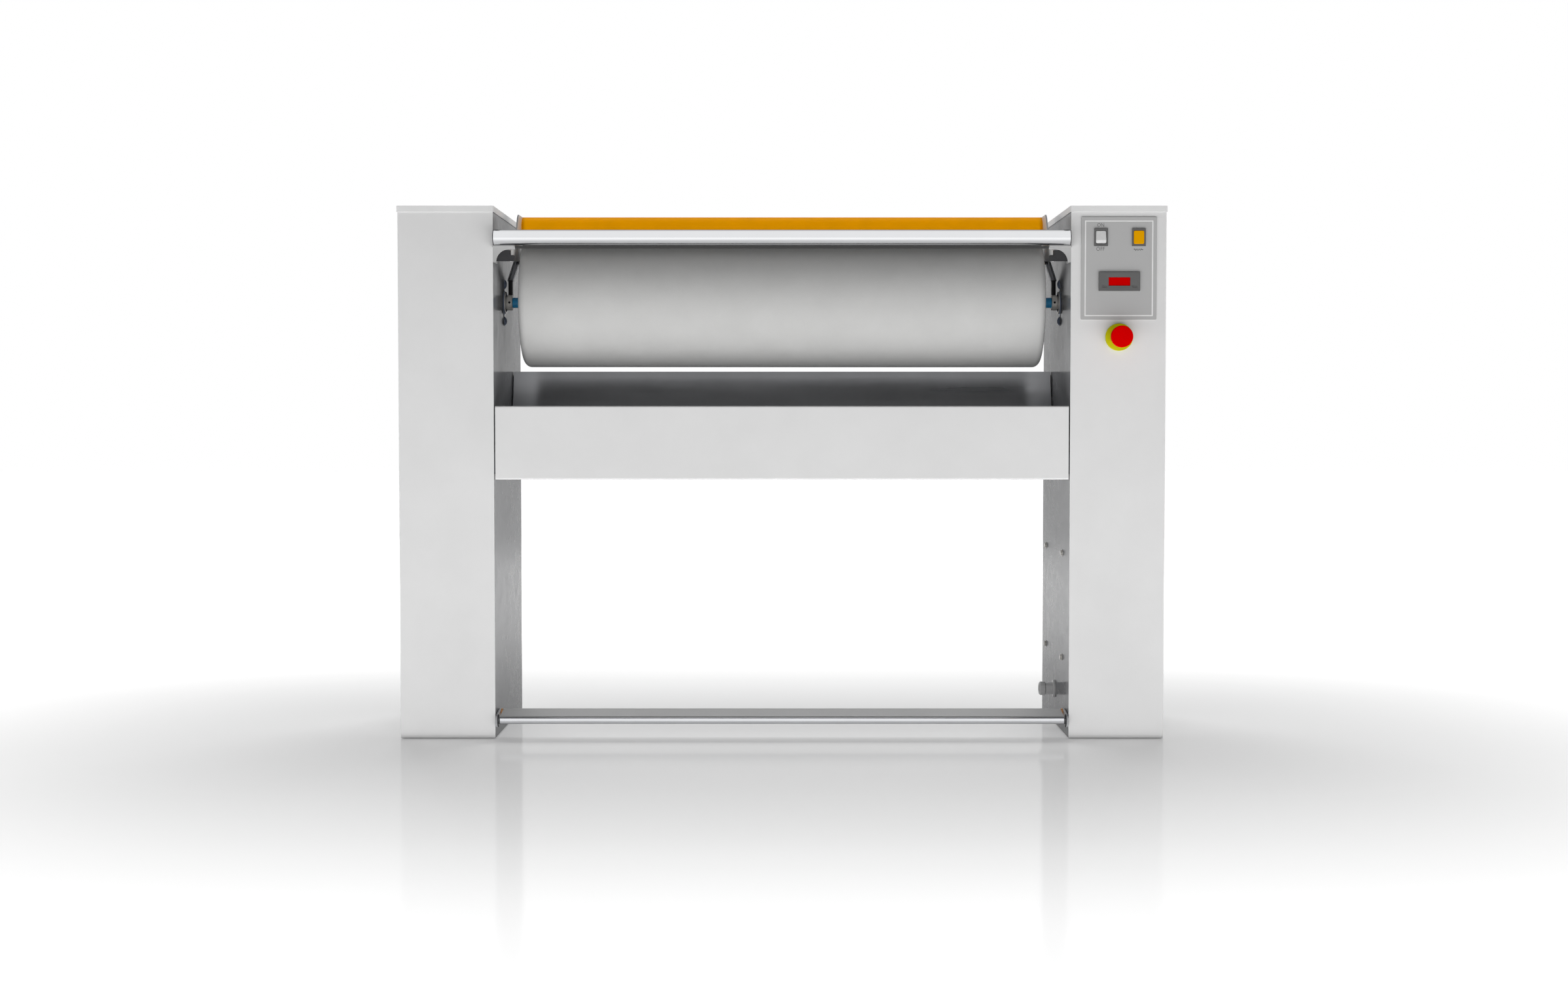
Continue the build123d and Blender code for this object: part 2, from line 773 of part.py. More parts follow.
def bearing_flanges(ring_near):
    """Pressed halves that hold each bearing on its wall, and their bolts."""
    ears = flange_bolt_pitch / 2
    dome = ring_radius + flange_sheet
    axis = (roll_depth, roll_height)

    def half_flange(face, out):
        """A flat oval on a wall face with a dome that rises to out."""
        flat = side_view(oval(), face, face + math.copysign(flange_sheet, out - face))
        cup = rod_x(face, out, *axis, dome)
        rims = cup.edges().filter_by(GeomType.CIRCLE).sort_by(Axis.X)
        cup = fillet(rims[0 if out < face else -1], flange_sheet)
        solid = flat + cup
        lip = out - math.copysign(flange_sheet, out - face)
        solid -= rod_x(face, lip, *axis, ring_radius)
        solid -= rod_x(face, out, *axis, collar_radius + fit_gap)
        for z in (-ears, ears):
            solid -= bore_x(roll_depth, roll_height + z, flange_bolt_shank)
        return solid

    front_half = half_flange(inner_x, ring_near - flange_sheet)
    rear_half = half_flange(wall_back, ring_near + ring_length + flange_sheet)
    save("bearing_flanges", *both(front_half), *both(rear_half))

    bolts = []
    face = inner_x - flange_sheet
    for z in (-ears, ears):
        head = rod_x(face - flange_bolt_rise, face, roll_depth, roll_height + z, flange_bolt_head)
        rim = head.edges().filter_by(GeomType.CIRCLE).sort_by(Axis.X)[0]
        head = fillet(rim, flange_bolt_dome)
        shank = rod_x(face, wall_back + flange_sheet, roll_depth, roll_height + z,
                      flange_bolt_shank)
        seat = wall_back + flange_sheet
        nut = side_view(Pos(roll_depth, roll_height + z) * hexagon(flange_nut_radius),
                        seat, seat + flange_nut_thick)
        bolts += both(head + shank + nut)
    save("flange_bolts", *bolts)


# ---------------------------------------------------------------- roll drive
def grooved_pulley(d, z, radius, bore):
    """Pulley with side flanges that keep the belt on its rim."""
    rim = rod_x(-pulley_far, -pulley_near, d, z, radius + belt_thick / 2)
    middle = -(pulley_near + pulley_far) / 2
    groove = belt_width / 2 + belt_gap
    rim -= tube_x(middle - groove, middle + groove, radius, radius + belt_thick, d, z)
    return rim - rod_x(-pulley_far, -pulley_near, d, z, bore)


def roll_drive():
    save("roll_pulley", grooved_pulley(roll_depth, roll_height, roll_pulley_radius, shaft_radius))
    output = motor_shaft_radius
    wheel = grooved_pulley(roll_depth, motor_z, motor_pulley_radius, output)
    spindle = rod_x(-gearbox_x, -pulley_near, roll_depth, motor_z, output)
    save("motor_pulley", wheel + spindle)

    def loop(extra):
        circles = Pos(roll_depth, roll_height) * Circle(roll_pulley_radius + extra)
        circles += Pos(roll_depth, motor_z) * Circle(motor_pulley_radius + extra)
        return make_hull(circles.edges())

    middle = -(pulley_near + pulley_far) / 2
    belt = side_view(loop(belt_gap + belt_thick) - loop(belt_gap),
                     middle - belt_width / 2, middle + belt_width / 2)
    save("drive_belt", belt)

    half = gearbox_size / 2
    box = block(-gearbox_x - half, -gearbox_x + half, roll_depth - half, roll_depth + half,
                motor_z - half, motor_z + half)
    box = fillet(box.edges().filter_by(Axis.X), gearbox_edge)
    box -= rod_x(-gearbox_x - blind_end, -gearbox_x + half, roll_depth, motor_z,
                 output + running)
    top = motor_z - half
    under = top - shelf_sheet - fit_gap
    motor = rod_z(under - motor_length, under, -gearbox_x, roll_depth, motor_radius)
    for rib in range(motor_ribs):
        turn = 360 / motor_ribs * rib
        motor += top_view(Pos(-gearbox_x, roll_depth) * Rot(0, 0, turn) * Pos(motor_radius, 0)
                          * Rectangle(*motor_rib),
                          top - motor_length + motor_rib_low, top - motor_rib_high)
    neck = rod_z(under, top + blind_end, -gearbox_x, roll_depth, motor_neck)
    save("roll_gearmotor", box + neck + motor)


# ---------------------------------------------------------------- chest
def sector_solid(r0, r1, x0, x1, start=0.0, end=180.0 - chest_lip_angle):
    face = Pos(roll_depth, chest_height) * ring_sector(r0, r1, start, end)
    return side_view(face, x0, x1)


def chest():
    inside = chest_half - chest_end_sheet
    save("chest_plate", sector_solid(chest_inner, chest_inner + chest_plate, -inside, inside))
    save("chest_ends", *both(sector_solid(chest_inner, casing_outer, inside, chest_half)))
    save("chest_casing", sector_solid(casing_inner, casing_outer, -inside, inside))
    rods = []
    arc = 180.0 - chest_lip_angle
    for index in range(heater_count):
        turn = math.radians(-arc * (index + 0.5) / heater_count)
        rods.append(rod_x(-inside, inside, roll_depth + heater_ring * math.cos(turn),
                          chest_height + heater_ring * math.sin(turn), heater_radius))
    save("heating_elements", *rods)
    save("chest_insulation", sector_solid(insulation_inner, casing_inner, -inside, inside))


# ---------------------------------------------------------------- chest lift
def tooth(depth_in, depth_out, half):
    """Straight-sided tooth, drawn along x from its root to its tip."""
    slope = math.tan(math.radians(tooth_slope))
    root = half + depth_in * slope
    tip = half - depth_out * slope
    return polygon((-depth_in, -root), (depth_out, -tip), (depth_out, tip), (-depth_in, root))


def rack():
    """Toothed bar and the saddle that joins it to the chest's casing."""
    pitch = math.pi * tooth_module
    x0, x1 = lift_x - rack_width / 2, lift_x + rack_width / 2
    bar = polygon((rack_front, rack_low), (rack_root, rack_low),
                  (rack_root, rack_high), (rack_front, rack_high))
    count = int((rack_high - rack_low) / pitch)
    below = math.floor((lift_shaft_height - rack_low) / pitch)
    for index in range(count):
        z = lift_shaft_height + (index - below + 0.5) * pitch
        if z - pitch > rack_low and z + pitch < rack_high:
            bar += Pos(rack_pitch_line, z) * tooth(tooth_root, tooth_module, tooth_half)
    solid = side_view(bar, x0, x1)

    saddle = block(lift_x - saddle_width / 2, lift_x + saddle_width / 2,
                   rack_front - saddle_reach, rack_front, chest_height - saddle_drop,
                   rack_high)
    saddle -= bore_x(roll_depth, chest_height, casing_outer)
    return solid + saddle.solids().sort_by(SortBy.VOLUME)[-1]


def pinion():
    """Pinion with a tooth in the rack's gap at rest."""
    profile = Circle(pitch_radius - tooth_root)
    for index in range(pinion_teeth):
        turn = 180 + 360 / pinion_teeth * index
        profile += (Rot(0, 0, turn) * Pos(pitch_radius, 0)
                    * tooth(tooth_root_sunk, tooth_module, tooth_half))
    wheel = side_view(Pos(lift_depth, lift_shaft_height) * profile,
                      lift_x - pinion_width / 2, lift_x + pinion_width / 2)
    return wheel - bore_x(lift_depth, lift_shaft_height, lift_shaft_radius)


def chest_lift():
    save("lift_racks", *both(rack()))
    save("lift_pinions", *both(pinion()))
    gear_end = wall_back + lift_box / 2
    near = lift_x + rack_width / 2 + guide_gap
    shaft_left = -(near + guide_sheet + lift_shaft_overhang)
    save("lift_shaft", rod_x(shaft_left, gear_end, lift_depth, lift_shaft_height,
                             lift_shaft_radius))

    guides = []
    for side in (-1, 1):
        x = lift_x + side * (rack_width / 2 + guide_gap)
        cheek = block(x, x + side * guide_sheet, rack_front, rear_beam_depth,
                      lift_shaft_height - guide_height / 2, lift_shaft_height + guide_height / 2)
        cheek -= bore_x(lift_depth, lift_shaft_height, lift_shaft_radius + running)
        guides += both(cheek)
    save("lift_guides", *guides)

    half = lift_box / 2
    box = block(wall_back, wall_back + lift_box, lift_depth - half, lift_depth + half,
                lift_shaft_height - half, lift_shaft_height + half)
    box = fillet(box.edges().filter_by(Axis.X), lift_box_edge)
    box -= rod_x(wall_back, gear_end + blind_end, lift_depth, lift_shaft_height,
                 lift_shaft_radius + running)
    under = lift_shaft_height - half
    motor = rod_z(under - lift_motor_length, under + blind_end,
                  wall_back + lift_motor_gap + lift_motor_radius, lift_depth, lift_motor_radius)
    save("lift_gearmotor", box + motor)


# ---------------------------------------------------------------- finger guard
def guard():
    arm_outside = inner_x - arm_wall_gap
    low_x = arm_outside - arm_thick / 2
    high_x = cheek_outside + arm_thick / 2
    knee = roll_height + arm_straight
    elbow = knee + arm_joggle

    nose = bracket_top - cheek_nose
    bottom = bracket_top - cheek_bottom
    rear = roll_depth + guard_rear
    outline = polygon(
        (cheek_front, nose), (cheek_front + cheek_chin, bottom),
        (roll_depth + cheek_belly[0], bottom + cheek_belly[1]),
        (pivot_depth + arm_width, bottom + cheek_heel), (rear, screen_low), (rear, guard_top),
        *[(roll_depth + d, guard_top - drop) for d, drop in cheek_brow],
    )
    cheek = side_view(outline, cheek_inside, cheek_outside)
    save("guard_cheeks", *both(cheek))

    top = guard_top - screen_sink
    low_depth = roll_depth + screen_low_depth
    arc = ThreePointArc((low_depth, screen_low),
                        (low_depth - screen_bulge, (screen_low + top) / 2),
                        (roll_depth + screen_top_depth, top))
    screen = side_view(trace(arc, screen_sheet), -cheek_inside, cheek_inside)
    save("guard_screen", screen)

    line = [(low_x, roll_height), (low_x, knee), (high_x, elbow), (high_x, screen_low)]
    arm = front_view(strip(line, arm_thick, arm_bend), pivot_depth - arm_width / 2,
                     pivot_depth + arm_width / 2)
    arm += rod_x(low_x - arm_thick / 2, low_x + arm_thick / 2, pivot_depth, roll_height,
                 arm_width / 2)
    arm -= rod_x(low_x - arm_thick, low_x + arm_thick, pivot_depth, roll_height,
                 pivot_radius + running)
    save("guard_arms", *both(arm))


# ---------------------------------------------------------------- pedal
def pedal():
    tip = inner_x - lever_gap - lever_thick
    tube = tube_x(-tip, tip, pedal_radius - pedal_wall, pedal_radius, pedal_depth, pedal_height)
    save("pedal_tube", tube)

    eyes = Pos(pedal_depth, pedal_height) * Circle(lever_end)
    eyes += Pos(pedal_pivot_depth, pedal_pivot_height) * Circle(lever_eye)
    lever = side_view(make_hull(eyes.edges()), tip, tip + lever_thick)
    lever -= bore_x(pedal_pivot_depth, pedal_pivot_height, pedal_pivot_radius + running)
    save("pedal_levers", *both(lever))

    half = pedal_plate_sheet / 2
    reach = tip - pin_head - 2 * guide_gap
    front = pedal_depth + pedal_radius
    rear = pedal_plate_rear - half
    line = [(front + half, pedal_height), (front + half, pedal_height + pedal_radius),
            (rear, pedal_plate_top - half), (rear, pedal_plate_top - pedal_plate_hem)]
    face = strip(line, pedal_plate_sheet, pedal_plate_bend)
    save("pedal_plate", side_view(face, -reach, reach))


def pivot_pins():
    """Headed pins on the walls that carry the guard and the pedal."""
    pins = []
    for d, z, radius, near in (
        (pivot_depth, roll_height, pivot_radius, inner_x - arm_wall_gap - arm_thick),
        (pedal_pivot_depth, pedal_pivot_height, pedal_pivot_radius,
         inner_x - lever_gap - lever_thick),
    ):
        pin = rod_x(near - guide_gap - pin_head, near - guide_gap, d, z, 1.5 * radius)
        pin += rod_x(near - guide_gap, inner_x, d, z, radius)
        pins += both(pin)
    boss = tube_x(inner_x - arm_wall_gap + guide_gap, inner_x, pivot_radius, pin_boss,
                  pivot_depth, roll_height)
    save("pivot_pins", *pins, *both(boss))


# ---------------------------------------------------------------- controls
def switch_case(x):
    """Bezel and the open-fronted case behind it."""
    opening_w = window_width + 2 * window_gap
    opening_h = window_height + 2 * window_gap
    rim = front_view(rounded(bezel_width, bezel_height, bezel_corner, x, switch_height),
                     -plate_sheet - bezel_rise, -plate_sheet)
    rim = fillet(rim.edges().group_by(Axis.Y)[0], bezel_edge)
    case = front_view(rounded(opening_w + 2 * switch_wall, opening_h + 2 * switch_wall,
                              switch_corner, x, switch_height), -plate_sheet, switch_body)
    cavity = front_view(rounded(opening_w, opening_h, window_corner, x, switch_height),
                        -plate_sheet - bezel_rise, switch_body - switch_wall)
    return rim + case - cavity


def rocker_outline():
    """Rocker seen from the side about its pivot, with a shallow V for its face."""
    swing = math.radians(rocker_swing)
    opening = window_height / 2 + window_gap - guide_gap
    tall = (opening - rocker_face * math.sin(swing)) / math.cos(swing)
    valley = rocker_face - tall * math.tan(swing)
    return polygon((-valley, 0), (-rocker_face, tall), (rocker_back, tall),
                   (rocker_back, -tall), (-rocker_face, -tall))


def controls():
    plate_width = outer_x - inner_x - 2 * plate_margin
    plate = front_view(rounded(plate_width, plate_tall, plate_corner, column_middle,
                               plate_low + plate_tall / 2), -plate_sheet, 0)
    for cut in control_cutouts():
        plate -= cut
    save("control_plate", plate)

    save("rocker_bezel", switch_case(switch_x))
    outline = Pos(rocker_pivot, switch_height) * Rot(0, 0, -rocker_swing) * rocker_outline()
    key = side_view(outline, switch_x - window_width / 2, switch_x + window_width / 2)
    for side in (-1, 1):
        start = switch_x + side * window_width / 2
        key += rod_x(start, start + side * (window_gap - running), rocker_pivot, switch_height,
                     rocker_stub)
    save("rocker_key", key)

    save("lamp_bezel", switch_case(lamp_x))
    lens = front_view(rounded(window_width, window_height, lens_corner, lamp_x, switch_height),
                      -plate_sheet - bezel_rise - lens_rise, switch_body - switch_wall)
    lens = fillet(lens.edges().group_by(Axis.Y)[0], window_corner)
    save("lamp_lens", lens)
    controller()


def controller():
    """Temperature controller with its display and two keys."""
    x0, z0 = dial_x, controller_height

    face = -plate_sheet - controller_rise
    case = front_view(rounded(controller_width, controller_tall, controller_corner, x0, z0),
                      face, -plate_sheet)
    case = fillet(case.edges().group_by(Axis.Y)[0], window_corner)
    body_w, body_h = (size - 2 * fit_gap for size in controller_hole)
    case += front_view(rounded(body_w, body_h, switch_corner, x0, z0), -plate_sheet,
                       controller_body)
    half_w, half_h = body_w / 2 - controller_shell, body_h / 2 - controller_shell
    case -= block(x0 - half_w, x0 + half_w, face + display_sheet + key_length,
                  controller_body - controller_shell, z0 - half_h, z0 + half_h)
    window = front_view(rounded(display_width, display_height, switch_corner, x0, z0),
                        face, face + display_sheet)
    case -= window
    keys = []
    for side in (-1, 1):
        x, z = x0 + side * key_spread, z0 - key_drop
        case -= front_view(rounded(key_width + 2 * key_gap, key_height + 2 * key_gap,
                                   key_corner + key_gap, x, z),
                           face, face + display_sheet + key_length)
        keys.append(front_view(rounded(key_width, key_height, key_corner, x, z),
                               face - key_rise, face - key_rise + key_length))
    save("controller_case", case)
    save("left_key", keys[0])
    save("right_key", keys[1])
    save("display_window", window)


def emergency_stop():
    x, z = dial_x, estop_height
    base = rod_y(-estop_base_rise, 0, x, z, estop_base_radius)
    base = chamfer(base.edges().group_by(Axis.Y)[0], estop_base_edge)
    base += rod_y(-estop_middle, -estop_base_rise, x, z, estop_collar)
    base += rod_y(0, estop_barrel_length, x, z, estop_barrel)
    base -= rod_y(-estop_middle, estop_barrel_length, x, z, estop_stem_radius + running)
    nut = rod_y(sheet, sheet + estop_nut_thick, x, z, estop_nut_radius)
    nut -= rod_y(sheet, sheet + estop_nut_thick, x, z, estop_barrel)
    save("estop_base", base, nut)

    half = contact_block / 2
    contact = block(x - half, x + half, estop_barrel_length,
                    estop_barrel_length + contact_block_depth, z - half, z + half)
    save("estop_contact_block", fillet(contact.edges().filter_by(Axis.Y), contact_block_edge))

    head_back = -estop_reach + estop_head_thick
    stem_front = -estop_reach + estop_head_thick / 2
    stem = rod_y(stem_front, estop_barrel_length - estop_travel - guide_gap, x, z,
                 estop_stem_radius)
    save("estop_stem", stem)

    head = rod_y(-estop_reach, head_back, x, z, estop_head_radius)
    head = fillet(head.edges().group_by(Axis.Y)[0], estop_head_edge[0])
    head = fillet(head.edges().group_by(Axis.Y)[-1], estop_head_edge[1])
    skirt_end = -estop_middle - estop_travel - guide_gap
    head += rod_y(head_back, skirt_end, x, z, estop_barrel)
    head -= rod_y(stem_front - guide_gap, skirt_end, x, z, estop_stem_radius + running)
    save("estop_head", head)


# ---------------------------------------------------------------- right wall fittings
def wall_bolt_places():
    return [(d, z) for d in (wall_bolt_front, wall_bolt_rear)
            for z in (wall_bolt_low, wall_bolt_high)]


def wall_fittings():
    bolts = []
    washer = inner_x - washer_sheet
    for d, z in wall_bolt_places():
        bolt = side_view(Pos(d, z) * hexagon(wall_bolt_head), inner_x - wall_bolt_rise, washer)
        bolt += rod_x(washer, inner_x, d, z, washer_radius)
        bolts.append(bolt + rod_x(inner_x, wall_back + box_sheet, d, z, wall_bolt_shank))
    save("wall_bolts", *bolts)
    control_box()

    x, d, z = inner_x, gland_depth, gland_height
    nut_back = x - gland_reach + gland_cap_length
    gland = rod_x(x - gland_flange_thick, x, d, z, gland_flange)
    gland += rod_x(nut_back, x - gland_flange_thick, d, z, gland_radius)
    gland += rod_x(x, wall_back + gland_thread_length, d, z, gland_thread)
    cap_nut = rod_x(x - gland_reach, nut_back, d, z, gland_cap_radius)
    cap_nut = fillet(cap_nut.edges().filter_by(GeomType.CIRCLE).sort_by(Axis.X)[0],
                     gland_cap_edge)
    lock = side_view(Pos(d, z) * hexagon(gland_nut_radius), wall_back,
                     wall_back + gland_nut_thick)
    save("cable_gland", gland - bore_x(d, z, gland_bore), cap_nut - bore_x(d, z, gland_bore),
         lock - bore_x(d, z, gland_thread))


def control_box():
    """Box behind the four wall bolts, its lid, and the contactors on a rail."""
    d0, d1 = wall_bolt_front - box_margin, wall_bolt_rear + box_margin
    z0, z1 = wall_bolt_low - box_margin, wall_bolt_high + box_margin
    back, front = wall_back + box_sheet, wall_back + box_thick
    case = block(wall_back, front, d0, d1, z0, z1)
    case -= block(back, front, d0 + box_sheet, d1 - box_sheet, z0 + box_sheet, z1 - box_sheet)
    for d, z in wall_bolt_places():
        case -= rod_x(wall_back, back, d, z, wall_bolt_shank)
    lid = block(front, front + box_sheet, d0, d1, z0, z1)

    middle = (z0 + z1) / 2
    rail = back + rail_thick
    inside = [block(back, rail, d0 + rail_inset, d1 - rail_inset,
                    middle - rail_height / 2, middle + rail_height / 2)]
    off, along, up = contactor
    for index in range(contactor_count):
        start = d0 + contactor_start + index * contactor_pitch
        inside.append(block(rail, rail + off, start, start + along,
                            middle - up / 2, middle + up / 2))
    save("control_box", case, lid, *inside)


# ---------------------------------------------------------------- build
os.makedirs("parts", exist_ok=True)
columns()
cross_members()
feed_bar()
roll()
roll_drive()
chest()
chest_lift()
guard()
pedal()
pivot_pins()
controls()
emergency_stop()
wall_fittings()
print(len(nodes), "nodes,", sum(len(solids) for solids in nodes.values()), "solids")
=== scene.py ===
import json
import math
import random

import bmesh
import bpy
from mathutils import Matrix, Vector


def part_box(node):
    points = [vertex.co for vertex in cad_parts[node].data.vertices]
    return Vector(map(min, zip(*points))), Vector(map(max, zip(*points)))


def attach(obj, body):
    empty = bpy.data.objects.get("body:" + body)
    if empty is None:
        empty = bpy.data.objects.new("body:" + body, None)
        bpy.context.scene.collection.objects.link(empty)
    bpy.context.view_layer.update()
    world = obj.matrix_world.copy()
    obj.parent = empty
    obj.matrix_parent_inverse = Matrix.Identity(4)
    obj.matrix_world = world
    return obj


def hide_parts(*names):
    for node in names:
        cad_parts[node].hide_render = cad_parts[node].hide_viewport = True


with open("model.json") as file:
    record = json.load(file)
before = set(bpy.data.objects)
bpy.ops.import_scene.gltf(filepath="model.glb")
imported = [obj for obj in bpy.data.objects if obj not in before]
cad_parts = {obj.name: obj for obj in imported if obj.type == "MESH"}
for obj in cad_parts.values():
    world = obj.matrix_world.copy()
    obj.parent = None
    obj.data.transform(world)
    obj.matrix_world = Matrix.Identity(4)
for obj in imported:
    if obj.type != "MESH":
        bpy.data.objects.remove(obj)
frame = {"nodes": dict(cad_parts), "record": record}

for name in ("Cube", "Light", "Camera"):
    if name in bpy.data.objects:
        bpy.data.objects.remove(bpy.data.objects[name])
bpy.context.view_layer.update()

MM = 0.001
WELD = 1e-6                                      # vertices closer than this are joined
WALL_SHEET = 3 * MM
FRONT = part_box("right_column_shell")[0].y        # front faces of the columns
WALL = abs(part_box("inner_walls")[0].x + WALL_SHEET)  # inner walls' faces, from the middle
rng = random.Random(7)


def at(depth):
    """Y of a plane so many millimetres behind the columns' front faces."""
    return FRONT + depth * MM


# ---------------------------------------------------------------- materials
COLOR_A, COLOR_B, COLOR_OUT = 6, 7, 2            # colour sockets of a Mix node


def add_node(tree, kind, props=None, **inputs):
    """Adds a shader node. Its inputs go by name, or by number as i0, i1 and so on."""
    made = tree.nodes.new("ShaderNode" + kind)
    for key, value in (props or {}).items():
        setattr(made, key, value)
    for key, value in inputs.items():
        numbered = key[0] == "i" and key[1:].isdigit()
        socket = made.inputs[int(key[1:]) if numbered else key.replace("_", " ")]
        if isinstance(value, bpy.types.NodeSocket):
            tree.links.new(value, socket)
        else:
            socket.default_value = value
    return made


class Shade:
    """A node material around one Principled shader."""

    def __init__(self, name, color, roughness, metallic=0.0, **sockets):
        self.mat = bpy.data.materials.new(name)
        self.mat.use_nodes = True
        self.tree = self.mat.node_tree
        self.bsdf = self.tree.nodes["Principled BSDF"]
        self.bsdf.inputs["Base Color"].default_value = (*color, 1)
        self.bsdf.inputs["Roughness"].default_value = roughness
        self.bsdf.inputs["Metallic"].default_value = metallic
        for key, value in sockets.items():
            self.bsdf.inputs[key.replace("_", " ")].default_value = value
        self.color = color
        self.roughness = roughness
        self.normal = None

    def node(self, kind, props=None, **inputs):
        return add_node(self.tree, kind, props, **inputs)

    def link(self, output, name):
        self.tree.links.new(output, self.bsdf.inputs[name])

    def noise(self, scale, detail=3.0, stretch=(1, 1, 1)):
        """Noise in the piece's own coordinates. A small stretch draws it out along an axis."""
        place = self.node("TexCoord").outputs["Object"]
        place = self.node("Mapping", Vector=place, Scale=stretch).outputs["Vector"]
        return self.node("TexNoise", Vector=place, Scale=scale, Detail=detail,
                         Roughness=0.55).outputs["Fac"]

    def spread(self, value, low, high):
        """Maps the middle part of a noise's values to low and high."""
        return self.node("MapRange", Value=value, From_Min=0.3, From_Max=0.7,
                         To_Min=low, To_Max=high).outputs["Result"]

    def shade_of(self, color, factor):
        return tuple(min(1.0, c * factor) for c in color)

    def mottle(self, factor, dark, light):
        """Varies the base colour between a darker and a lighter tone."""
        mix = self.node("Mix", {"data_type": "RGBA"}, Factor=factor)
        mix.inputs[COLOR_A].default_value = (*self.shade_of(self.color, dark), 1)
        mix.inputs[COLOR_B].default_value = (*self.shade_of(self.color, light), 1)
        self.link(mix.outputs[COLOR_OUT], "Base Color")

    def gloss(self, factor, reach):
        """Varies the roughness around its mean."""
        self.link(self.spread(factor, max(0.02, self.roughness - reach),
                              self.roughness + reach), "Roughness")

    def rounded(self, radius):
        """Softens hard edges in the shading."""
        self.normal = self.node("Bevel", {"samples": 4}, Radius=radius).outputs["Normal"]
        self.link(self.normal, "Normal")

    def bump(self, height, strength, distance):
        inputs = dict(Height=height, Strength=strength, Distance=distance)
        if self.normal is not None:
            inputs["Normal"] = self.normal
        self.normal = self.node("Bump", **inputs).outputs["Normal"]
        self.link(self.normal, "Normal")


def powder(name, color, roughness=0.42, peel=0.10, **sockets):
    """Powder coat: fine orange peel, slight clouding, soft edges."""
    s = Shade(name, color, roughness, **sockets)
    s.rounded(0.7 * MM)
    s.bump(s.noise(650, 2.0), peel, 0.12 * MM)
    s.mottle(s.spread(s.noise(9, 4.0), 0, 1), 0.975, 1.02)
    s.gloss(s.noise(300, 2.0), 0.05)
    return s.mat


def metal(name, color, roughness, brush=None, lines=0.06, blotch=0.04, edge=1.0, **sockets):
    """Bare or plated metal: brush lines along one axis, faint blotches.
    edge is how much it reflects at a grazing angle."""
    s = Shade(name, color, roughness, 1.0, Specular_Tint=(edge, edge, edge, 1), **sockets)
    s.rounded(0.4 * MM)
    stretch = brush or (1, 1, 1)
    grain = s.noise(420 if brush else 160, 4.0, stretch)
    s.bump(grain, lines, 0.05 * MM)
    s.gloss(s.noise(40, 4.0, stretch), 0.05)
    s.mottle(s.spread(s.noise(14, 3.0), 0, 1), 1 - blotch, 1 + blotch)
    return s.mat


def plastic(name, color, roughness=0.4, grain=0.12, scale=1400, **sockets):
    """Moulded plastic: fine spark-eroded texture and slight clouding."""
    s = Shade(name, color, roughness, **sockets)
    s.rounded(0.3 * MM)
    s.bump(s.noise(scale, 2.0), grain, 0.05 * MM)
    s.gloss(s.noise(90, 3.0), 0.04)
    s.mottle(s.spread(s.noise(30, 3.0), 0, 1), 0.96, 1.03)
    return s.mat


def woven(name, color, pitch, roughness=0.9, lift=0.5, **sockets):
    """Plain weave in the piece's own UV map, whose unit is a metre."""
    s = Shade(name, color, roughness, **sockets)
    uv = s.node("TexCoord").outputs["UV"]
    wobble = s.node("TexNoise", Vector=uv, Scale=140.0, Detail=2.0)
    bent = s.node("VectorMath", {"operation": "MULTIPLY_ADD"}, i0=wobble.outputs["Color"],
                  i1=(0.25 * pitch,) * 3, i2=uv).outputs[0]
    parts = s.node("SeparateXYZ", Vector=bent)
    waves = []
    for axis in ("X", "Y"):
        turn = s.node("Math", {"operation": "MULTIPLY"}, i0=parts.outputs[axis],
                      i1=2 * math.pi / pitch).outputs[0]
        waves.append(s.node("Math", {"operation": "SINE"}, i0=turn).outputs[0])
    cross = s.node("Math", {"operation": "MULTIPLY"}, i0=waves[0], i1=waves[1]).outputs[0]
    fuzz = s.node("TexNoise", Vector=uv, Scale=900.0, Detail=3.0).outputs["Fac"]
    weave = s.node("MapRange", Value=cross, From_Min=-1.0, From_Max=1.0).outputs["Result"]
    both = s.node("Math", {"operation": "ADD"}, i0=weave, i1=fuzz).outputs[0]
    s.bump(both, lift, 0.35 * MM)
    cloud = s.node("TexNoise", Vector=uv, Scale=16.0, Detail=5.0).outputs["Fac"]
    blend = s.node("Math", {"operation": "MULTIPLY_ADD"}, i0=weave, i1=0.75,
                   i2=s.spread(cloud, 0, 0.25)).outputs[0]
    s.mottle(blend, 0.88, 1.06)
    return s.mat


def felt(name, color, scale=500):
    """Felted wool or mineral wool: coarse fibres, clouded."""
    s = Shade(name, color, 0.95)
    s.bump(s.noise(scale, 5.0), 0.6, 0.5 * MM)
    s.mottle(s.spread(s.noise(60, 5.0), 0, 1), 0.86, 1.08)
    return s.mat


def grey(value):
    """Linear value of an 8-bit sRGB grey."""
    v = value / 255
    return v / 12.92 if v < 0.04045 else ((v + 0.055) / 1.055) ** 2.4


def rgb(r, g, b):
    """Linear colour of 8-bit sRGB values."""
    return (grey(r), grey(g), grey(b))


def even(value):
    """Linear colour of an 8-bit neutral grey."""
    return rgb(value, value, value)


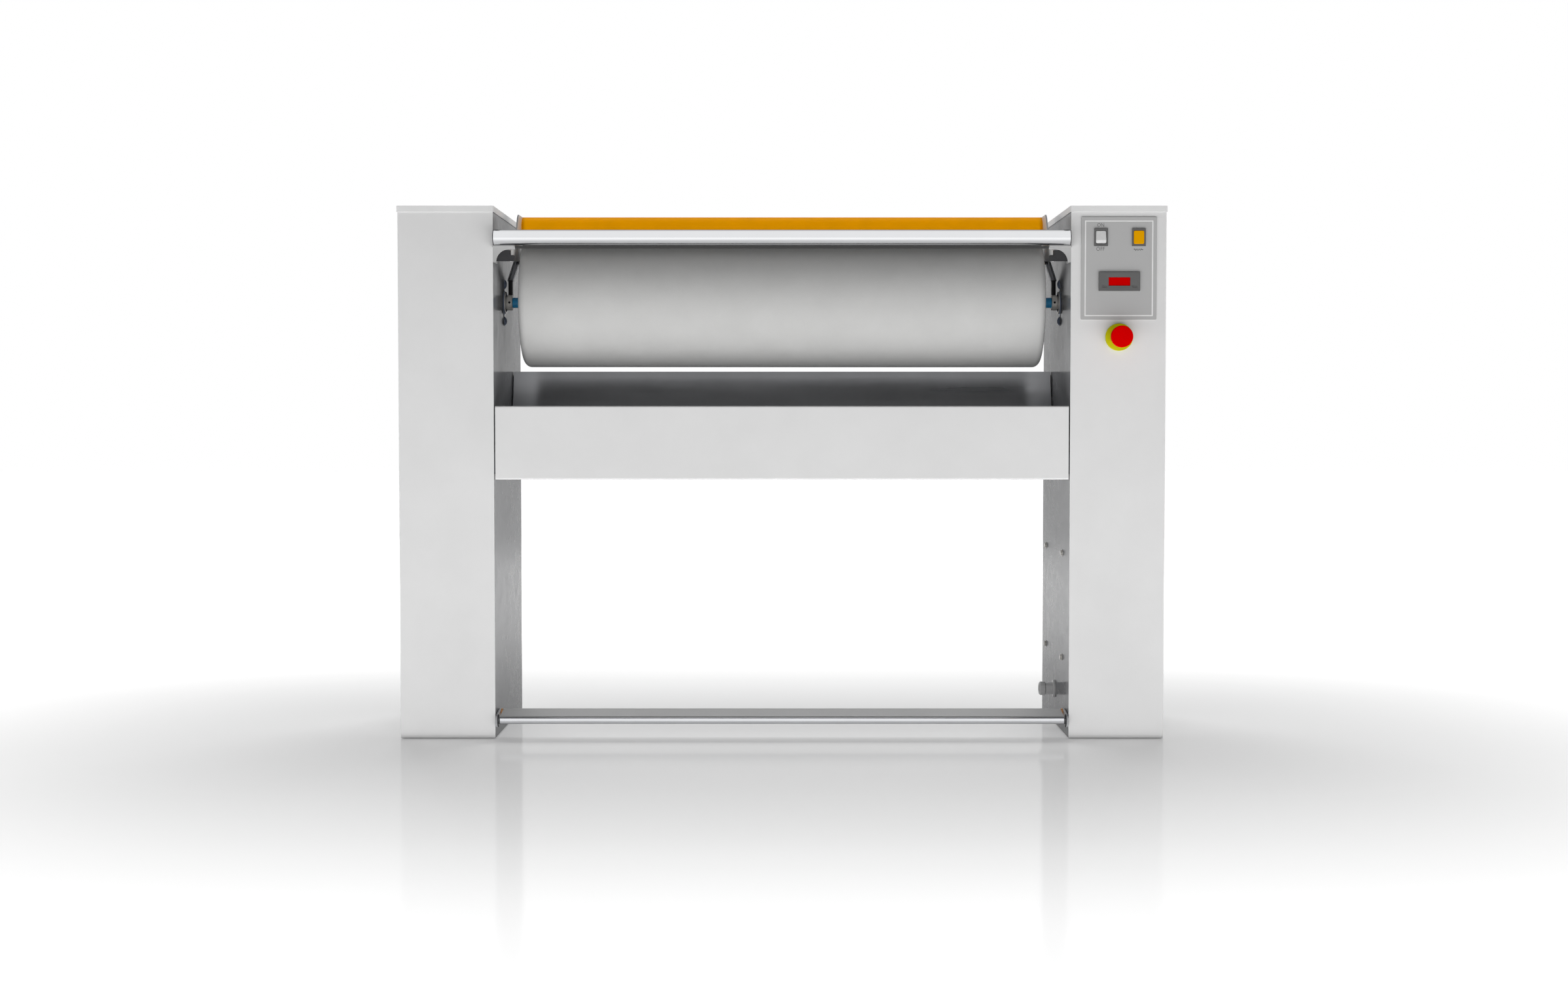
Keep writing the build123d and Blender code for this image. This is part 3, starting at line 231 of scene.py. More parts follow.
MATT = {"Specular_IOR_Level": 0.12}              # less sheen, so that strong colours stay strong
DEEP = {"Specular_IOR_Level": 0.004}             # hardly any, for the red and amber plastics
MATERIALS = {
    "painted_sheet": powder("light_powder_coat", even(214)),
    "wall_steel": metal("polished_wall", rgb(156, 157, 159), 0.17, None, 0.003, 0.006, 0.1,
                        Metallic=0.4, Specular_IOR_Level=0.03),
    "frame_steel": powder("dark_primer", rgb(72, 74, 78), 0.5, 0.2),
    "zinc": powder("bright_zinc", rgb(190, 187, 182), 0.32, 0.06, Metallic=0.25),
    "chrome": metal("chrome_tube", rgb(228, 229, 231), 0.09, (0.02, 1, 1), 0.008, 0.01, 0.12),
    "rubber": plastic("black_rubber", rgb(38, 38, 40), 0.75, 0.4, 700),
    "cloth": woven("ironing_cloth", rgb(196, 196, 195), 2.2 * MM, Specular_IOR_Level=0.05),
    "padding": felt("wool_padding", rgb(220, 216, 205)),
    "shaft_blue": powder("blue_lacquer", rgb(44, 150, 204), 0.35, 0.2, Specular_IOR_Level=0.3),
    "chest_metal": metal("polished_chest", rgb(176, 177, 180), 0.32, (0.05, 1, 1), 0.03, 0.04, 0.6),
    "insulation": felt("mineral_wool", rgb(205, 196, 160), 260),
    "heater": metal("heater_sheath", rgb(120, 112, 104), 0.45, (0.05, 1, 1), 0.1, 0.15),
    "panel_grey": powder("control_plate_lacquer", even(172), 0.5, 0.06),
    "dark_plastic": plastic("dark_moulding", even(94), 0.5, 0.12, 1400, Specular_IOR_Level=0.25),
    "white_plastic": plastic("white_moulding", even(212), 0.28),
    "red_plastic": plastic("red_moulding", rgb(206, 0, 1), 0.45, 0.05, 1400, **DEEP),
    "yellow_plastic": plastic("yellow_moulding", rgb(186, 184, 3), 0.5, 0.08, 1400, **MATT),
    "light_plastic": plastic("light_moulding", even(196), 0.42),
    "black_steel": powder("black_lacquer", rgb(20, 20, 22), 0.35, 0.2, Specular_IOR_Level=0.2),
    "belt": plastic("belt_rubber", rgb(30, 30, 31), 0.8, 0.5, 500),
    "amber": plastic("amber_sheet", rgb(232, 162, 0), 0.35, 0.0, 700, Transmission_Weight=0.75,
                     IOR=1.1),
    "amber_lens": plastic("amber_lens", rgb(224, 158, 0), 0.3, 0.03, 900, **DEEP),
    "red_window": plastic("red_window", rgb(198, 0, 1), 0.25, 0.02, 900, **DEEP),
}
PRINT_DARK = plastic("dark_print", even(70), 0.6, 0.05)
PRINT_LIGHT = plastic("light_print", even(222), 0.5, 0.05)
STEEL_BLACK = metal("black_oxide", rgb(40, 40, 43), 0.4, None, 0.2, 0.1)
STEEL_GREY = metal("satin_tube", rgb(226, 227, 230), 0.16, (0.02, 1, 1), 0.02, 0.02, 0.12)
# darker copy of the light paint for the feed plate: painted shade under the feed bar
FEED_PLATE_PAINTED_SHADE = powder("feed_plate_painted_shade", even(64), 0.5, 0.1, Specular_IOR_Level=0.2)
TREAD_GREY = powder("tread_sheet", even(200), 0.45, 0.15, Specular_IOR_Level=0.3)
# lighter copy of the light paint for the caps: painted light on them
CAPS_PAINTED_LIGHT = powder("caps_painted_light", even(222))
# darker copy of the light paint for the bar brackets: painted shade under the feed bar
BRACKETS_PAINTED_SHADE = powder("brackets_painted_shade", even(170), 0.42, 0.1)
FLANGE_BLUE = powder("blue_zinc", rgb(132, 143, 166), 0.36, 0.06, Metallic=0.25)
BRONZE = powder("bronze", rgb(206, 148, 98), 0.35, 0.06, Metallic=0.3)
CHANNEL = powder("phosphated_channel", rgb(168, 170, 174), 0.4, 0.1, Metallic=0.25)
LEVER_ZINC = powder("lever_zinc", rgb(150, 151, 153), 0.3, 0.08, Metallic=0.25)
FINISHES = {"feed_plate": FEED_PLATE_PAINTED_SHADE, "pedal_plate": TREAD_GREY, "bar_brackets": BRACKETS_PAINTED_SHADE,
            "column_caps": CAPS_PAINTED_LIGHT}

slot_of = {s["node"]: s["material_slot"] for s in frame["record"]["subparts"]}
for name, obj in frame["nodes"].items():
    finish = FINISHES.get(name, MATERIALS[slot_of[name]])
    obj.data.materials.clear()
    obj.data.materials.append(finish)


# ---------------------------------------------------------------- mesh helpers
def settle(mesh, smooth):
    """Smooth shading, with sharp edges from an angle in degrees."""
    mesh.polygons.foreach_set("use_smooth", [True] * len(mesh.polygons))
    mesh.set_sharp_from_angle(angle=math.radians(smooth))
    mesh.update()


def piece(name, mesh, body, material, replaces=(), smooth=32):
    """Turns a mesh, or a bmesh, into a named piece of the object on a body."""
    if isinstance(mesh, bmesh.types.BMesh):
        bmesh.ops.recalc_face_normals(mesh, faces=mesh.faces)
        made = bpy.data.meshes.new(name)
        mesh.to_mesh(made)
        mesh.free()
        mesh = made
    mesh.materials.clear()
    mesh.materials.append(material)
    settle(mesh, smooth)
    obj = bpy.data.objects.new(name, mesh)
    bpy.context.scene.collection.objects.link(obj)
    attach(obj, body)
    if replaces:
        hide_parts(*replaces)
    return obj


def corners(points, radii, steps=5, closed=True):
    """A 2D line with each corner rounded by its own radius."""
    if not hasattr(radii, "__len__"):
        radii = [radii] * len(points)
    count = len(points)
    out = []
    for i, (p, radius) in enumerate(zip(points, radii)):
        p = Vector(p)
        if radius <= 0 or (not closed and i in (0, count - 1)):
            out.append(tuple(p))
            continue
        back = (Vector(points[i - 1]) - p).normalized()
        ahead = (Vector(points[(i + 1) % count]) - p).normalized()
        half = back.angle(ahead) / 2
        if half > math.pi / 2 - 1e-4:
            out.append(tuple(p))
            continue
        reach = radius / math.tan(half)
        centre = p + (back + ahead).normalized() * (radius / math.sin(half))
        start, end = p + back * reach - centre, p + ahead * reach - centre
        turn = start.angle_signed(end)
        for k in range(steps + 1):
            a = -turn * k / steps
            out.append((centre.x + start.x * math.cos(a) - start.y * math.sin(a),
                        centre.y + start.x * math.sin(a) + start.y * math.cos(a)))
    return out


def spin(profile, centre, axis="X", steps=96, closed=True, shape=None):
    """Revolves (place along the axis, radius) points around X or Y. closed joins the last
    point to the first, and shape may move each point."""
    bm = bmesh.new()
    rings = []
    for index, (place, radius) in enumerate(profile):
        ring = []
        on_axis = radius < 1e-7
        for k in range(1 if on_axis else steps):
            a = 2 * math.pi * k / steps
            p, r = (place, radius) if shape is None else shape(index, place, radius, a)
            along, across = centre[0] + r * math.cos(a), centre[1] + r * math.sin(a)
            ring.append(bm.verts.new((p, along, across) if axis == "X" else (along, p, across)))
        rings.append(ring)
    pairs = list(zip(rings, rings[1:]))
    if closed:
        pairs.append((rings[-1], rings[0]))
    for a, b in pairs:
        for k in range(steps):
            j = (k + 1) % steps
            if len(a) == 1 and len(b) == 1:
                break
            if len(a) == 1:
                bm.faces.new((a[0], b[k], b[j]))
            elif len(b) == 1:
                bm.faces.new((a[k], b[0], a[j]))
            else:
                bm.faces.new((a[k], b[k], b[j], a[j]))
    return bm


def mesh_of(curve):
    """Mesh of a curve or a text."""
    obj = bpy.data.objects.new("drawn", curve)
    bpy.context.scene.collection.objects.link(obj)
    mesh = bpy.data.meshes.new_from_object(
        obj.evaluated_get(bpy.context.evaluated_depsgraph_get()))
    bpy.data.objects.remove(obj)
    return mesh


def welded(mesh):
    """bmesh of a mesh, with vertices that lie on each other joined."""
    bm = bmesh.new()
    bm.from_mesh(mesh)
    bmesh.ops.remove_doubles(bm, verts=bm.verts, dist=WELD)
    return bm


def slab(loops, thick, bevel, steps=2):
    """Plate with rounded edges, drawn in X and Y and centred on Z = 0.
    The first loop is its outline, the others are holes."""
    curve = bpy.data.curves.new("slab", "CURVE")
    curve.dimensions = "2D"
    curve.fill_mode = "BOTH"
    curve.extrude = thick / 2 - bevel
    curve.bevel_depth = bevel
    curve.bevel_resolution = steps
    curve.offset = -bevel
    for index, loop in enumerate(loops):
        area = sum(a[0] * b[1] - b[0] * a[1] for a, b in zip(loop, loop[1:] + loop[:1]))
        if (area > 0) == (index > 0):
            loop = loop[::-1]
        line = curve.splines.new("POLY")
        line.points.add(len(loop) - 1)
        for point, (x, y) in zip(line.points, loop):
            point.co = (x, y, 0, 1)
        line.use_cyclic_u = True
    return welded(mesh_of(curve))


def front_plate(bm, x, y_front, z, thick):
    """Stands a slab up behind a front face: its X to X and its Y to Z."""
    bm.transform(Matrix.Translation((x, y_front + thick / 2, z)) @ Matrix.Rotation(math.pi / 2, 4, "X"))
    return bm


def side_plate(bm, x_near, thick):
    """Stands a slab across X: its X to Y and its Y to Z."""
    turn = Matrix(((0, 0, 1, 0), (1, 0, 0, 0), (0, 1, 0, 0), (0, 0, 0, 1)))
    bm.transform(Matrix.Translation((x_near + thick / 2, 0, 0)) @ turn)
    return bm


def box_loop(width, height, radius, x=0.0, y=0.0):
    """Rounded rectangle around a point."""
    w, h = width / 2, height / 2
    return corners([(x - w, y - h), (x + w, y - h), (x + w, y + h), (x - w, y + h)], radius)


def circle_loop(radius, x=0.0, y=0.0, steps=48):
    """Circle, or a polygon of few steps, around a point."""
    return [(x + radius * math.cos(2 * math.pi * k / steps),
             y + radius * math.sin(2 * math.pi * k / steps)) for k in range(steps)]


def arc(centre, radius, start, end, steps):
    """Points on a circle, from one angle to another."""
    return [(centre[0] + radius * math.cos(start + (end - start) * k / steps),
             centre[1] + radius * math.sin(start + (end - start) * k / steps))
            for k in range(steps + 1)]


def middle(node):
    """X, Y and Z of the centre of a CAD node's box."""
    low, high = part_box(node)
    return [(a + b) / 2 for a, b in zip(low, high)]


def pillow(centre, width, height, radius, front, back, bevel, face=None, columns=20, rows=30):
    """Block around a centre in X and Z: a rounded rectangle from the front, with a shaped and
    edge-rounded face. face gives each height's set-back from the front."""
    bm = bmesh.new()
    grid = []
    for j in range(rows + 1):
        z = -height / 2 * math.cos(math.pi * j / rows)
        over = max(0.0, abs(z) - (height / 2 - radius))
        half = width / 2 - radius + math.sqrt(max(0.0, radius ** 2 - over ** 2))
        row = []
        for i in range(columns + 1):
            x = -half * math.cos(math.pi * i / columns)
            gap = min(half - abs(x), height / 2 - abs(z), bevel)
            drop = bevel - math.sqrt(bevel ** 2 - (bevel - gap) ** 2)
            set_back = face(z) if face else 0.0
            row.append(bm.verts.new((x, front + set_back + drop, z)))
        grid.append(row)
    for low_row, high_row in zip(grid, grid[1:]):
        for i in range(columns):
            bm.faces.new((low_row[i], low_row[i + 1], high_row[i + 1], high_row[i]))
    rim = grid[0] + [row[-1] for row in grid[1:-1]] + grid[-1][::-1]
    rim += [row[0] for row in grid[-2:0:-1]]
    rear = [bm.verts.new((v.co.x, back, v.co.z)) for v in rim]
    for k in range(len(rim)):
        j = (k + 1) % len(rim)
        bm.faces.new((rim[k], rear[k], rear[j], rim[j]))
    bm.faces.new(rear)
    bm.transform(Matrix.Translation((centre[0], 0, centre[1])))
    return bm


def join(*meshes):
    """One bmesh out of several."""
    out = bmesh.new()
    for bm in meshes:
        mesh = bpy.data.meshes.new("part")
        bm.to_mesh(mesh)
        bm.free()
        out.from_mesh(mesh)
    return out


def mirrored(bm):
    """The piece and its mirror image across the middle."""
    copy = bm.copy()
    copy.transform(Matrix.Scale(-1, 4, (1, 0, 0)))
    bmesh.ops.reverse_faces(copy, faces=copy.faces)
    return join(bm, copy)


def loft(bm, rings):
    """Skin through closed rings of vertices, with both ends filled."""
    for a, b in zip(rings, rings[1:]):
        for k in range(len(a)):
            j = (k + 1) % len(a)
            bm.faces.new((a[k], a[j], b[j], b[k]))
    bm.faces.new(rings[0][::-1])
    bm.faces.new(rings[-1])


def sweep(section, x0, x1):
    """Closed section in Y and Z, extruded along X."""
    bm = bmesh.new()
    loft(bm, [[bm.verts.new((x, y, z)) for y, z in section] for x in (x0, x1)])
    return bm


# ---------------------------------------------------------------- roll
ROLL_LOW, ROLL_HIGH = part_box("roll_cover")
ROLL = middle("roll_cover")[1:]                  # its axis, in Y and Z
ROLL_R = (ROLL_HIGH.z - ROLL_LOW.z) / 2
ROLL_HALF = ROLL_HIGH.x
MOUTH = 110.6 * MM                               # radius of the opening in the cloth's ends
EDGE = 14 * MM                                   # rounding between the cloth's face and ends


def cloth_lines():
    """Outer line of the cloth from one mouth to the other, and its inner line back."""
    end_rings, edge_steps, across = 8, 10, 60
    skin, hem = 1.5 * MM, 2 * MM
    outer = [(-ROLL_HALF, MOUTH + (ROLL_R - EDGE - MOUTH) * k / end_rings)
             for k in range(end_rings)]
    outer += corners([(-ROLL_HALF, MOUTH), (-ROLL_HALF, ROLL_R), (ROLL_HALF, ROLL_R)],
                     [0, EDGE, 0], edge_steps, closed=False)[1:-1]
    start = outer[-1][0]
    outer += [(start + (-2 * start) * k / across, ROLL_R) for k in range(1, across)]
    outer += [(-p, r) for p, r in outer[:end_rings + edge_steps + 1][::-1]]
    inner = [(ROLL_HALF - skin, MOUTH), (ROLL_HALF - skin, MOUTH + hem),
             (ROLL_HALF - EDGE, ROLL_R - skin)]
    return outer, inner + [(-p, r) for p, r in inner[::-1]]


def roll_cloth():
    """The ironing cloth: drawn tight, softly uneven, gathered at its mouths."""
    outer, inner = cloth_lines()
    waves = [(rng.uniform(2, 9), rng.uniform(0, 6.3), rng.randint(1, 4), rng.uniform(0, 6.3))
             for _ in range(6)]                  # per metre, phase, around the roll, phase
    pleats = 84
    gather, swell, sunk = 0.2 * MM, 0.22 * MM, 0.12 * MM
    smooth_from = ROLL_R - 3 * MM                # the gathers end at this radius

    def shape(index, place, radius, angle):
        if index >= len(outer):
            return place, radius
        near = max(0.0, 1 - (radius - MOUTH) / (smooth_from - MOUTH))
        fold = 1 - math.cos(pleats * angle) + 0.4 * math.cos(pleats * 0.5 * angle + 1)
        place -= math.copysign(near * gather * max(0.0, fold), place)
        wave = sum(math.sin(f * place + p + n * angle + q) for f, p, n, q in waves) / len(waves)
        return place, radius + (swell * wave - sunk)

    bm = spin(outer + inner, ROLL, "X", 4 * pleats, True, shape)
    layer = bm.loops.layers.uv.new("cloth")
    for face in bm.faces:
        angles = [math.atan2(v.co.z - ROLL[1], v.co.y - ROLL[0]) % (2 * math.pi)
                  for v in face.verts]
        wrap = max(angles) - min(angles) > math.pi
        for loop, a in zip(face.loops, angles):
            if wrap and a < math.pi:
                a += 2 * math.pi
            co = loop.vert.co
            r = math.hypot(co.y - ROLL[0], co.z - ROLL[1])
            loop[layer].uv = (co.x + math.copysign(ROLL_R - r, co.x), a * ROLL_R)
    obj = piece("roll_cloth", bm, "roll", MATERIALS["cloth"], ["roll_cover"], 50)


def draw_cords():
    """The cord that closes each mouth of the cloth."""
    rings = []
    for side in (-1, 1):
        ring = circle_loop(1.1 * MM, side * (ROLL_HALF - 1.6 * MM), MOUTH + 0.4 * MM, 10)
        rings.append(spin(ring, ROLL, "X", 168, True))
    piece("roll_draw_cords", join(*rings), "roll", MATERIALS["padding"])


def seam_stitches():
    """Two rows of stitches on the lap along the back of the roll."""
    lap, half_row, pitch = math.radians(38), 1.5 * MM, 4.2 * MM
    stitch = Matrix.Diagonal((1.3 * MM, 0.35 * MM, 0.3 * MM, 1))
    reach = ROLL_HALF - EDGE
    count = int(2 * reach / pitch)
    r = ROLL_R + 0.02 * MM
    bm = bmesh.new()
    for row in (-half_row, half_row):
        a = lap + row / ROLL_R
        for k in range(count):
            x = -reach + (k + 0.5) * 2 * reach / count
            place = Matrix.Translation((x, ROLL[0] + r * math.cos(a), ROLL[1] + r * math.sin(a)))
            bmesh.ops.create_icosphere(bm, subdivisions=1, radius=1.0, matrix=place @ stitch)
    piece("roll_seam_stitches", bm, "roll", MATERIALS["padding"])


roll_cloth()
draw_cords()
seam_stitches()


# ---------------------------------------------------------------- feed bar and pedal tube
def tube(name, node, body, material, cap):
    """Tube along X that stands for a CAD node, with a black cap on each end."""
    low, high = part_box(node)
    centre = middle(node)[1:]
    radius = (high.z - low.z) / 2
    half = high.x - cap
    wall, lip, plug_depth = 2 * MM, 0.1 * MM, 12 * MM
    side = corners([(0, radius), (half, radius), (half, radius - wall)], [0, 0.25 * MM, 0], 3,
                   False)[1:]
    side += [(half - 3 * MM, radius - wall)]
    profile = [(-x, r) for x, r in side[::-1]] + side
    piece(name, spin(profile, centre, "X", 128, True), body, material, [node])
    inside = radius - wall - 0.15 * MM
    plug = corners([(half - plug_depth, 0), (half - plug_depth, inside), (half + lip, inside),
                    (half + lip, radius), (high.x, radius), (high.x, 0)],
                   [0, 0, 0, 0, 0.5 * MM, 0])
    piece(name + "_caps", mirrored(spin(plug, centre, "X", 96, False)), body,
          MATERIALS["rubber"])


tube("feed_tube", "feed_bar", "root", MATERIALS["chrome"], 1.4 * MM)
tube("pedal_bar", "pedal_tube", "pedal", STEEL_GREY, 0.8 * MM)


# ---------------------------------------------------------------- finger guard
def guard():
    """Curved amber sheet between the cheeks."""
    low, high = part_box("guard_screen")
    half = high.x - 0.2 * MM
    half_thick, steps = 1.4 * MM, 24
    bottom = (at(206), low.z + 1.3 * MM)
    belly = (at(196), (low.z + high.z) / 2)
    top = (at(214), high.z - 1.5 * MM)
    line = []
    for k in range(steps + 1):                   # parabola through the three points
        t = k / steps
        bulge = 4 * t * (1 - t)
        line.append([a + (c - a) * t + (b - (a + c) / 2) * bulge
                     for a, b, c in zip(bottom, belly, top)])
    face, back = [], []
    for k, (y, z) in enumerate(line):
        a, b = line[max(0, k - 1)], line[min(steps, k + 1)]
        d = Vector((b[0] - a[0], b[1] - a[1])).normalized()
        face.append((y - d.y * half_thick, z + d.x * half_thick))
        back.append((y + d.y * half_thick, z - d.x * half_thick))
    corner_points = (0, steps, steps + 1, 2 * steps + 1)
    radii = [0.6 * MM if k in corner_points else 0 for k in range(2 * steps + 2)]
    section = corners(face + back[::-1], radii, 3)
    piece("amber_screen", sweep(section, -half, half), "guard", MATERIALS["amber"],
          ["guard_screen"])


def guard_arms():
    """Black links on the pivots, open channels leaning out to them, straps on the cheeks."""
    pin, pin_hole = (at(197), 828 * MM), 6.2 * MM
    front, back = at(187), at(207)
    link_top, link_x, link_thick = 873 * MM, 527 * MM, 8 * MM
    strap_low, strap_top, strap_x, strap_thick = 904 * MM, 962 * MM, 513 * MM, 6.5 * MM
    link = slab([arc(pin, 10 * MM, -math.pi, 0, 20) + [(back, link_top), (front, link_top)],
                 circle_loop(pin_hole, *pin)], link_thick, 0.6 * MM)
    side_plate(link, link_x, link_thick)
    outline = [(front, strap_low), (back, strap_low), (back, strap_top), (front, strap_top)]
    strap = slab([corners(outline, 2 * MM)], strap_thick, 0.5 * MM)
    side_plate(strap, strap_x, strap_thick)
    piece("guard_arm_links", mirrored(join(link, strap)), "guard",
          MATERIALS["black_steel"], ["guard_arms"])

    half, lip, floor = 5.4 * MM, 1.3 * MM, 2.2 * MM
    section = [(-half, front), (-half, back), (half, back), (half, front), (half - lip, front),
               (half - lip, back - floor), (-half + lip, back - floor), (-half + lip, front)]
    line = [(531.1, 871.5), (531.1, 874), (519.6, 909), (519.0, 912)]   # X and Z in mm
    bm = bmesh.new()
    loft(bm, [[bm.verts.new((x * MM + dx, y, z * MM)) for dx, y in section] for x, z in line])
    edges = [e for e in bm.edges if e.verts[0].co.z != e.verts[1].co.z]
    bmesh.ops.bevel(bm, geom=edges, offset=0.3 * MM, segments=2, affect="EDGES")
    piece("guard_arm_channels", mirrored(bm), "guard", CHANNEL, ["guard_arms"])


guard()
guard_arms()


# ---------------------------------------------------------------- roll bearings
def collar_screws():
    """Socket set screws in the front of the bearing collars."""
    collar_start, collar_length, collar_r = 6 * MM, 11 * MM, 15 * MM
    screw_r, socket, deep, floor_thick = 2.2 * MM, 1.2 * MM, 2.4 * MM, 0.6 * MM
    x = WALL - collar_start - collar_length / 2
    y = ROLL[0] - collar_r
    screws = []
    for side in (-1, 1):
        bm = slab([circle_loop(screw_r, steps=32), circle_loop(socket, steps=6)], deep, 0.25 * MM)
        front_plate(bm, side * x, y + 0.6 * MM, ROLL[1], deep)
        floor = slab([circle_loop(2.0 * MM, steps=24)], floor_thick, 0.1 * MM)
        front_plate(floor, side * x, y + 3.1 * MM, ROLL[1], floor_thick)
        screws.append(join(bm, floor))
    piece("collar_set_screws", join(*screws), "roll", STEEL_BLACK)


def dome(rim, rise, wall_x, steps=9):
    """Spherical cap that bulges from a wall towards the roll, as (place, radius) points."""
    ball = (rim ** 2 + rise ** 2) / (2 * rise)
    return [(wall_x - (math.sqrt(ball ** 2 - (rim * k / steps) ** 2) - (ball - rise)), rim * k / steps)
            for k in range(steps, -1, -1)]


def bearing_flanges():
    """Pressed two-bolt flange: a dome around the shaft on a thin oval plate, round-headed bolts."""
    y, z = ROLL
    opening, skin = 17.6 * MM, 1.4 * MM
    plate_thick, plate_hole = 0.4 * MM, 16.2 * MM
    bolt_spread = 35.75 * MM                     # bolts above and below the roll's axis
    bolt_seat = WALL - 1.0 * MM
    outside = [p for p in dome(24 * MM, 8 * MM, WALL - 0.5 * MM, 20) if p[1] > opening]
    inside = [(x + skin, r) for x, r in outside[::-1] if x + skin < WALL - 0.2 * MM]
    shell = spin(outside + inside, ROLL, "X", 96, True)
    oval = []
    for k in range(120):
        a = 2 * math.pi * k / 120
        reach = 22 * MM + 20 * MM * abs(math.sin(a)) ** 9
        oval.append((y + reach * math.cos(a), z + reach * math.sin(a)))
    plate = slab([oval, circle_loop(plate_hole, y, z)], plate_thick, 0.1 * MM)
    side_plate(plate, WALL - 0.45 * MM, plate_thick)
    piece("flange_plates", mirrored(plate), "root", MATERIALS["wall_steel"],
          ["bearing_flanges"])
    heads = []
    for side in (-1, 1):
        cap = [(bolt_seat, 0)] + dome(9.3 * MM, 4.2 * MM, bolt_seat, 10)
        heads.append(spin(cap, (y, z + side * bolt_spread), "X", 48, False))
    piece("flange_domes", mirrored(shell), "root", FLANGE_BLUE, ["bearing_flanges"])
    piece("flange_bolt_heads", mirrored(join(*heads)), "root", FLANGE_BLUE,
          ["flange_bolts"])


collar_screws()
bearing_flanges()


# ---------------------------------------------------------------- pedal levers
def pedal_levers():
    """Zinc levers with a black disc on the tube's end and a bronze bush around each pivot."""
    thick = 4 * MM
    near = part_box("pedal_levers")[1].x - thick
    foot, pivot = (at(3), 34.3 * MM), (at(50), 44 * MM)
    big, small, hole = 12 * MM, 8 * MM, 4.3 * MM
    way = Vector(pivot) - Vector(foot)
    lean = math.atan2(way.y, way.x)
    touch = math.acos((big - small) / way.length)    # where the straight edges leave the ends
    outline = arc(pivot, small, lean - touch, lean + touch, 24)
    outline += arc(foot, big, lean + touch, lean + 2 * math.pi - touch, 24)
    plate = side_plate(slab([outline, circle_loop(hole, *pivot)], thick, 0.5 * MM), near, thick)
    piece("pedal_lever_plates", mirrored(plate), "pedal", LEVER_ZINC, ["pedal_levers"])
    face, rim, bore = near - 1.6 * MM, big + 0.2 * MM, 6.1 * MM
    disc = corners([(face, bore), (face, rim), (near, rim), (near, bore)], [0, 0.6 * MM, 0, 0], 4)
    piece("pedal_end_discs", mirrored(spin(disc, foot, "X", 64, True)), "pedal",
          MATERIALS["black_steel"])
    face, rim, bore = near - 3 * MM, 7.4 * MM, 6.15 * MM
    bush = corners([(face, bore), (face, rim), (near, rim), (near, bore)],
                   [0.2 * MM, 0.5 * MM, 0, 0], 3)
    piece("pedal_bushes", mirrored(spin(bush, pivot, "X", 48, True)), "pedal", BRONZE)


pedal_levers()


# ---------------------------------------------------------------- controls
PLATE_LOW, PLATE_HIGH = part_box("control_plate")
PLATE_Y = PLATE_LOW.y                            # the plate's face
SWITCH_X, _, SWITCH_Z = middle("rocker_bezel")   # the lamp is level with the switch
LAMP_X = middle("lamp_bezel")[0]
INK = 0.12 * MM                                  # thickness of printed lines


def text(name, words, x, z, tall):
    """Printed capitals of a height, centred on x, with their foot at z."""
    curve = bpy.data.curves.new(name, "FONT")
    curve.body = words
    curve.align_x = "CENTER"
    curve.size = tall / 0.70                     # share of the font's size that a capital takes
    curve.extrude = INK / 2
    curve.offset = -0.009 * curve.size           # thinner strokes
    curve.space_character = 1.05
    bm = welded(mesh_of(curve))
    bm.transform(Matrix.Translation((x, PLATE_Y - INK / 2, z))
                 @ Matrix.Rotation(math.pi / 2, 4, "X") @ Matrix.Diagonal((1, 1.15, 1, 1)))
    piece(name, bm, "root", PRINT_DARK)


def frame_line():
    """White line around the control plate."""
    inset, line = 6.5 * MM, 2.4 * MM
    w, h = PLATE_HIGH.x - PLATE_LOW.x, PLATE_HIGH.z - PLATE_LOW.z
    x, _, z = middle("control_plate")
    ring = slab([box_loop(w - 2 * inset, h - 2 * inset, 1.0 * MM),
                 box_loop(w - 2 * inset - 2 * line, h - 2 * inset - 2 * line, 0.3 * MM)],
                INK, 0.01 * MM, 0)
    piece("plate_frame_line", front_plate(ring, x, PLATE_Y - INK, z, INK), "root",
          PRINT_LIGHT)


def bezels():
    """Frames of the switch and the lamp, each on a sleeve with a floor."""
    sleeve, hollow = (22.4 * MM, 27.7 * MM, 1.4 * MM), (20.6 * MM, 25.9 * MM, 1.0 * MM)
    deep, floor_thick = 22 * MM, 2 * MM
    rise = PLATE_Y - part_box("rocker_bezel")[0].y
    for name, x in (("rocker", SWITCH_X), ("lamp", LAMP_X)):
        rim = slab([box_loop(25.5 * MM, 33 * MM, 0.5 * MM),
                    box_loop(19.6 * MM, 24.9 * MM, 2.6 * MM)], rise, 0.25 * MM, 3)
        front_plate(rim, x, PLATE_Y - rise, SWITCH_Z, rise)
        wall = slab([box_loop(*sleeve), box_loop(*hollow)], deep, 0.2 * MM, 1)
        front_plate(wall, x, PLATE_Y - 0.1 * MM, SWITCH_Z, deep)
        back = slab([box_loop(*sleeve)], floor_thick, 0.2 * MM, 1)
        front_plate(back, x, PLATE_Y + 21.8 * MM, SWITCH_Z, floor_thick)
        piece(name + "_frame", join(rim, wall, back), "root",
              MATERIALS["dark_plastic"], [name + "_bezel"])


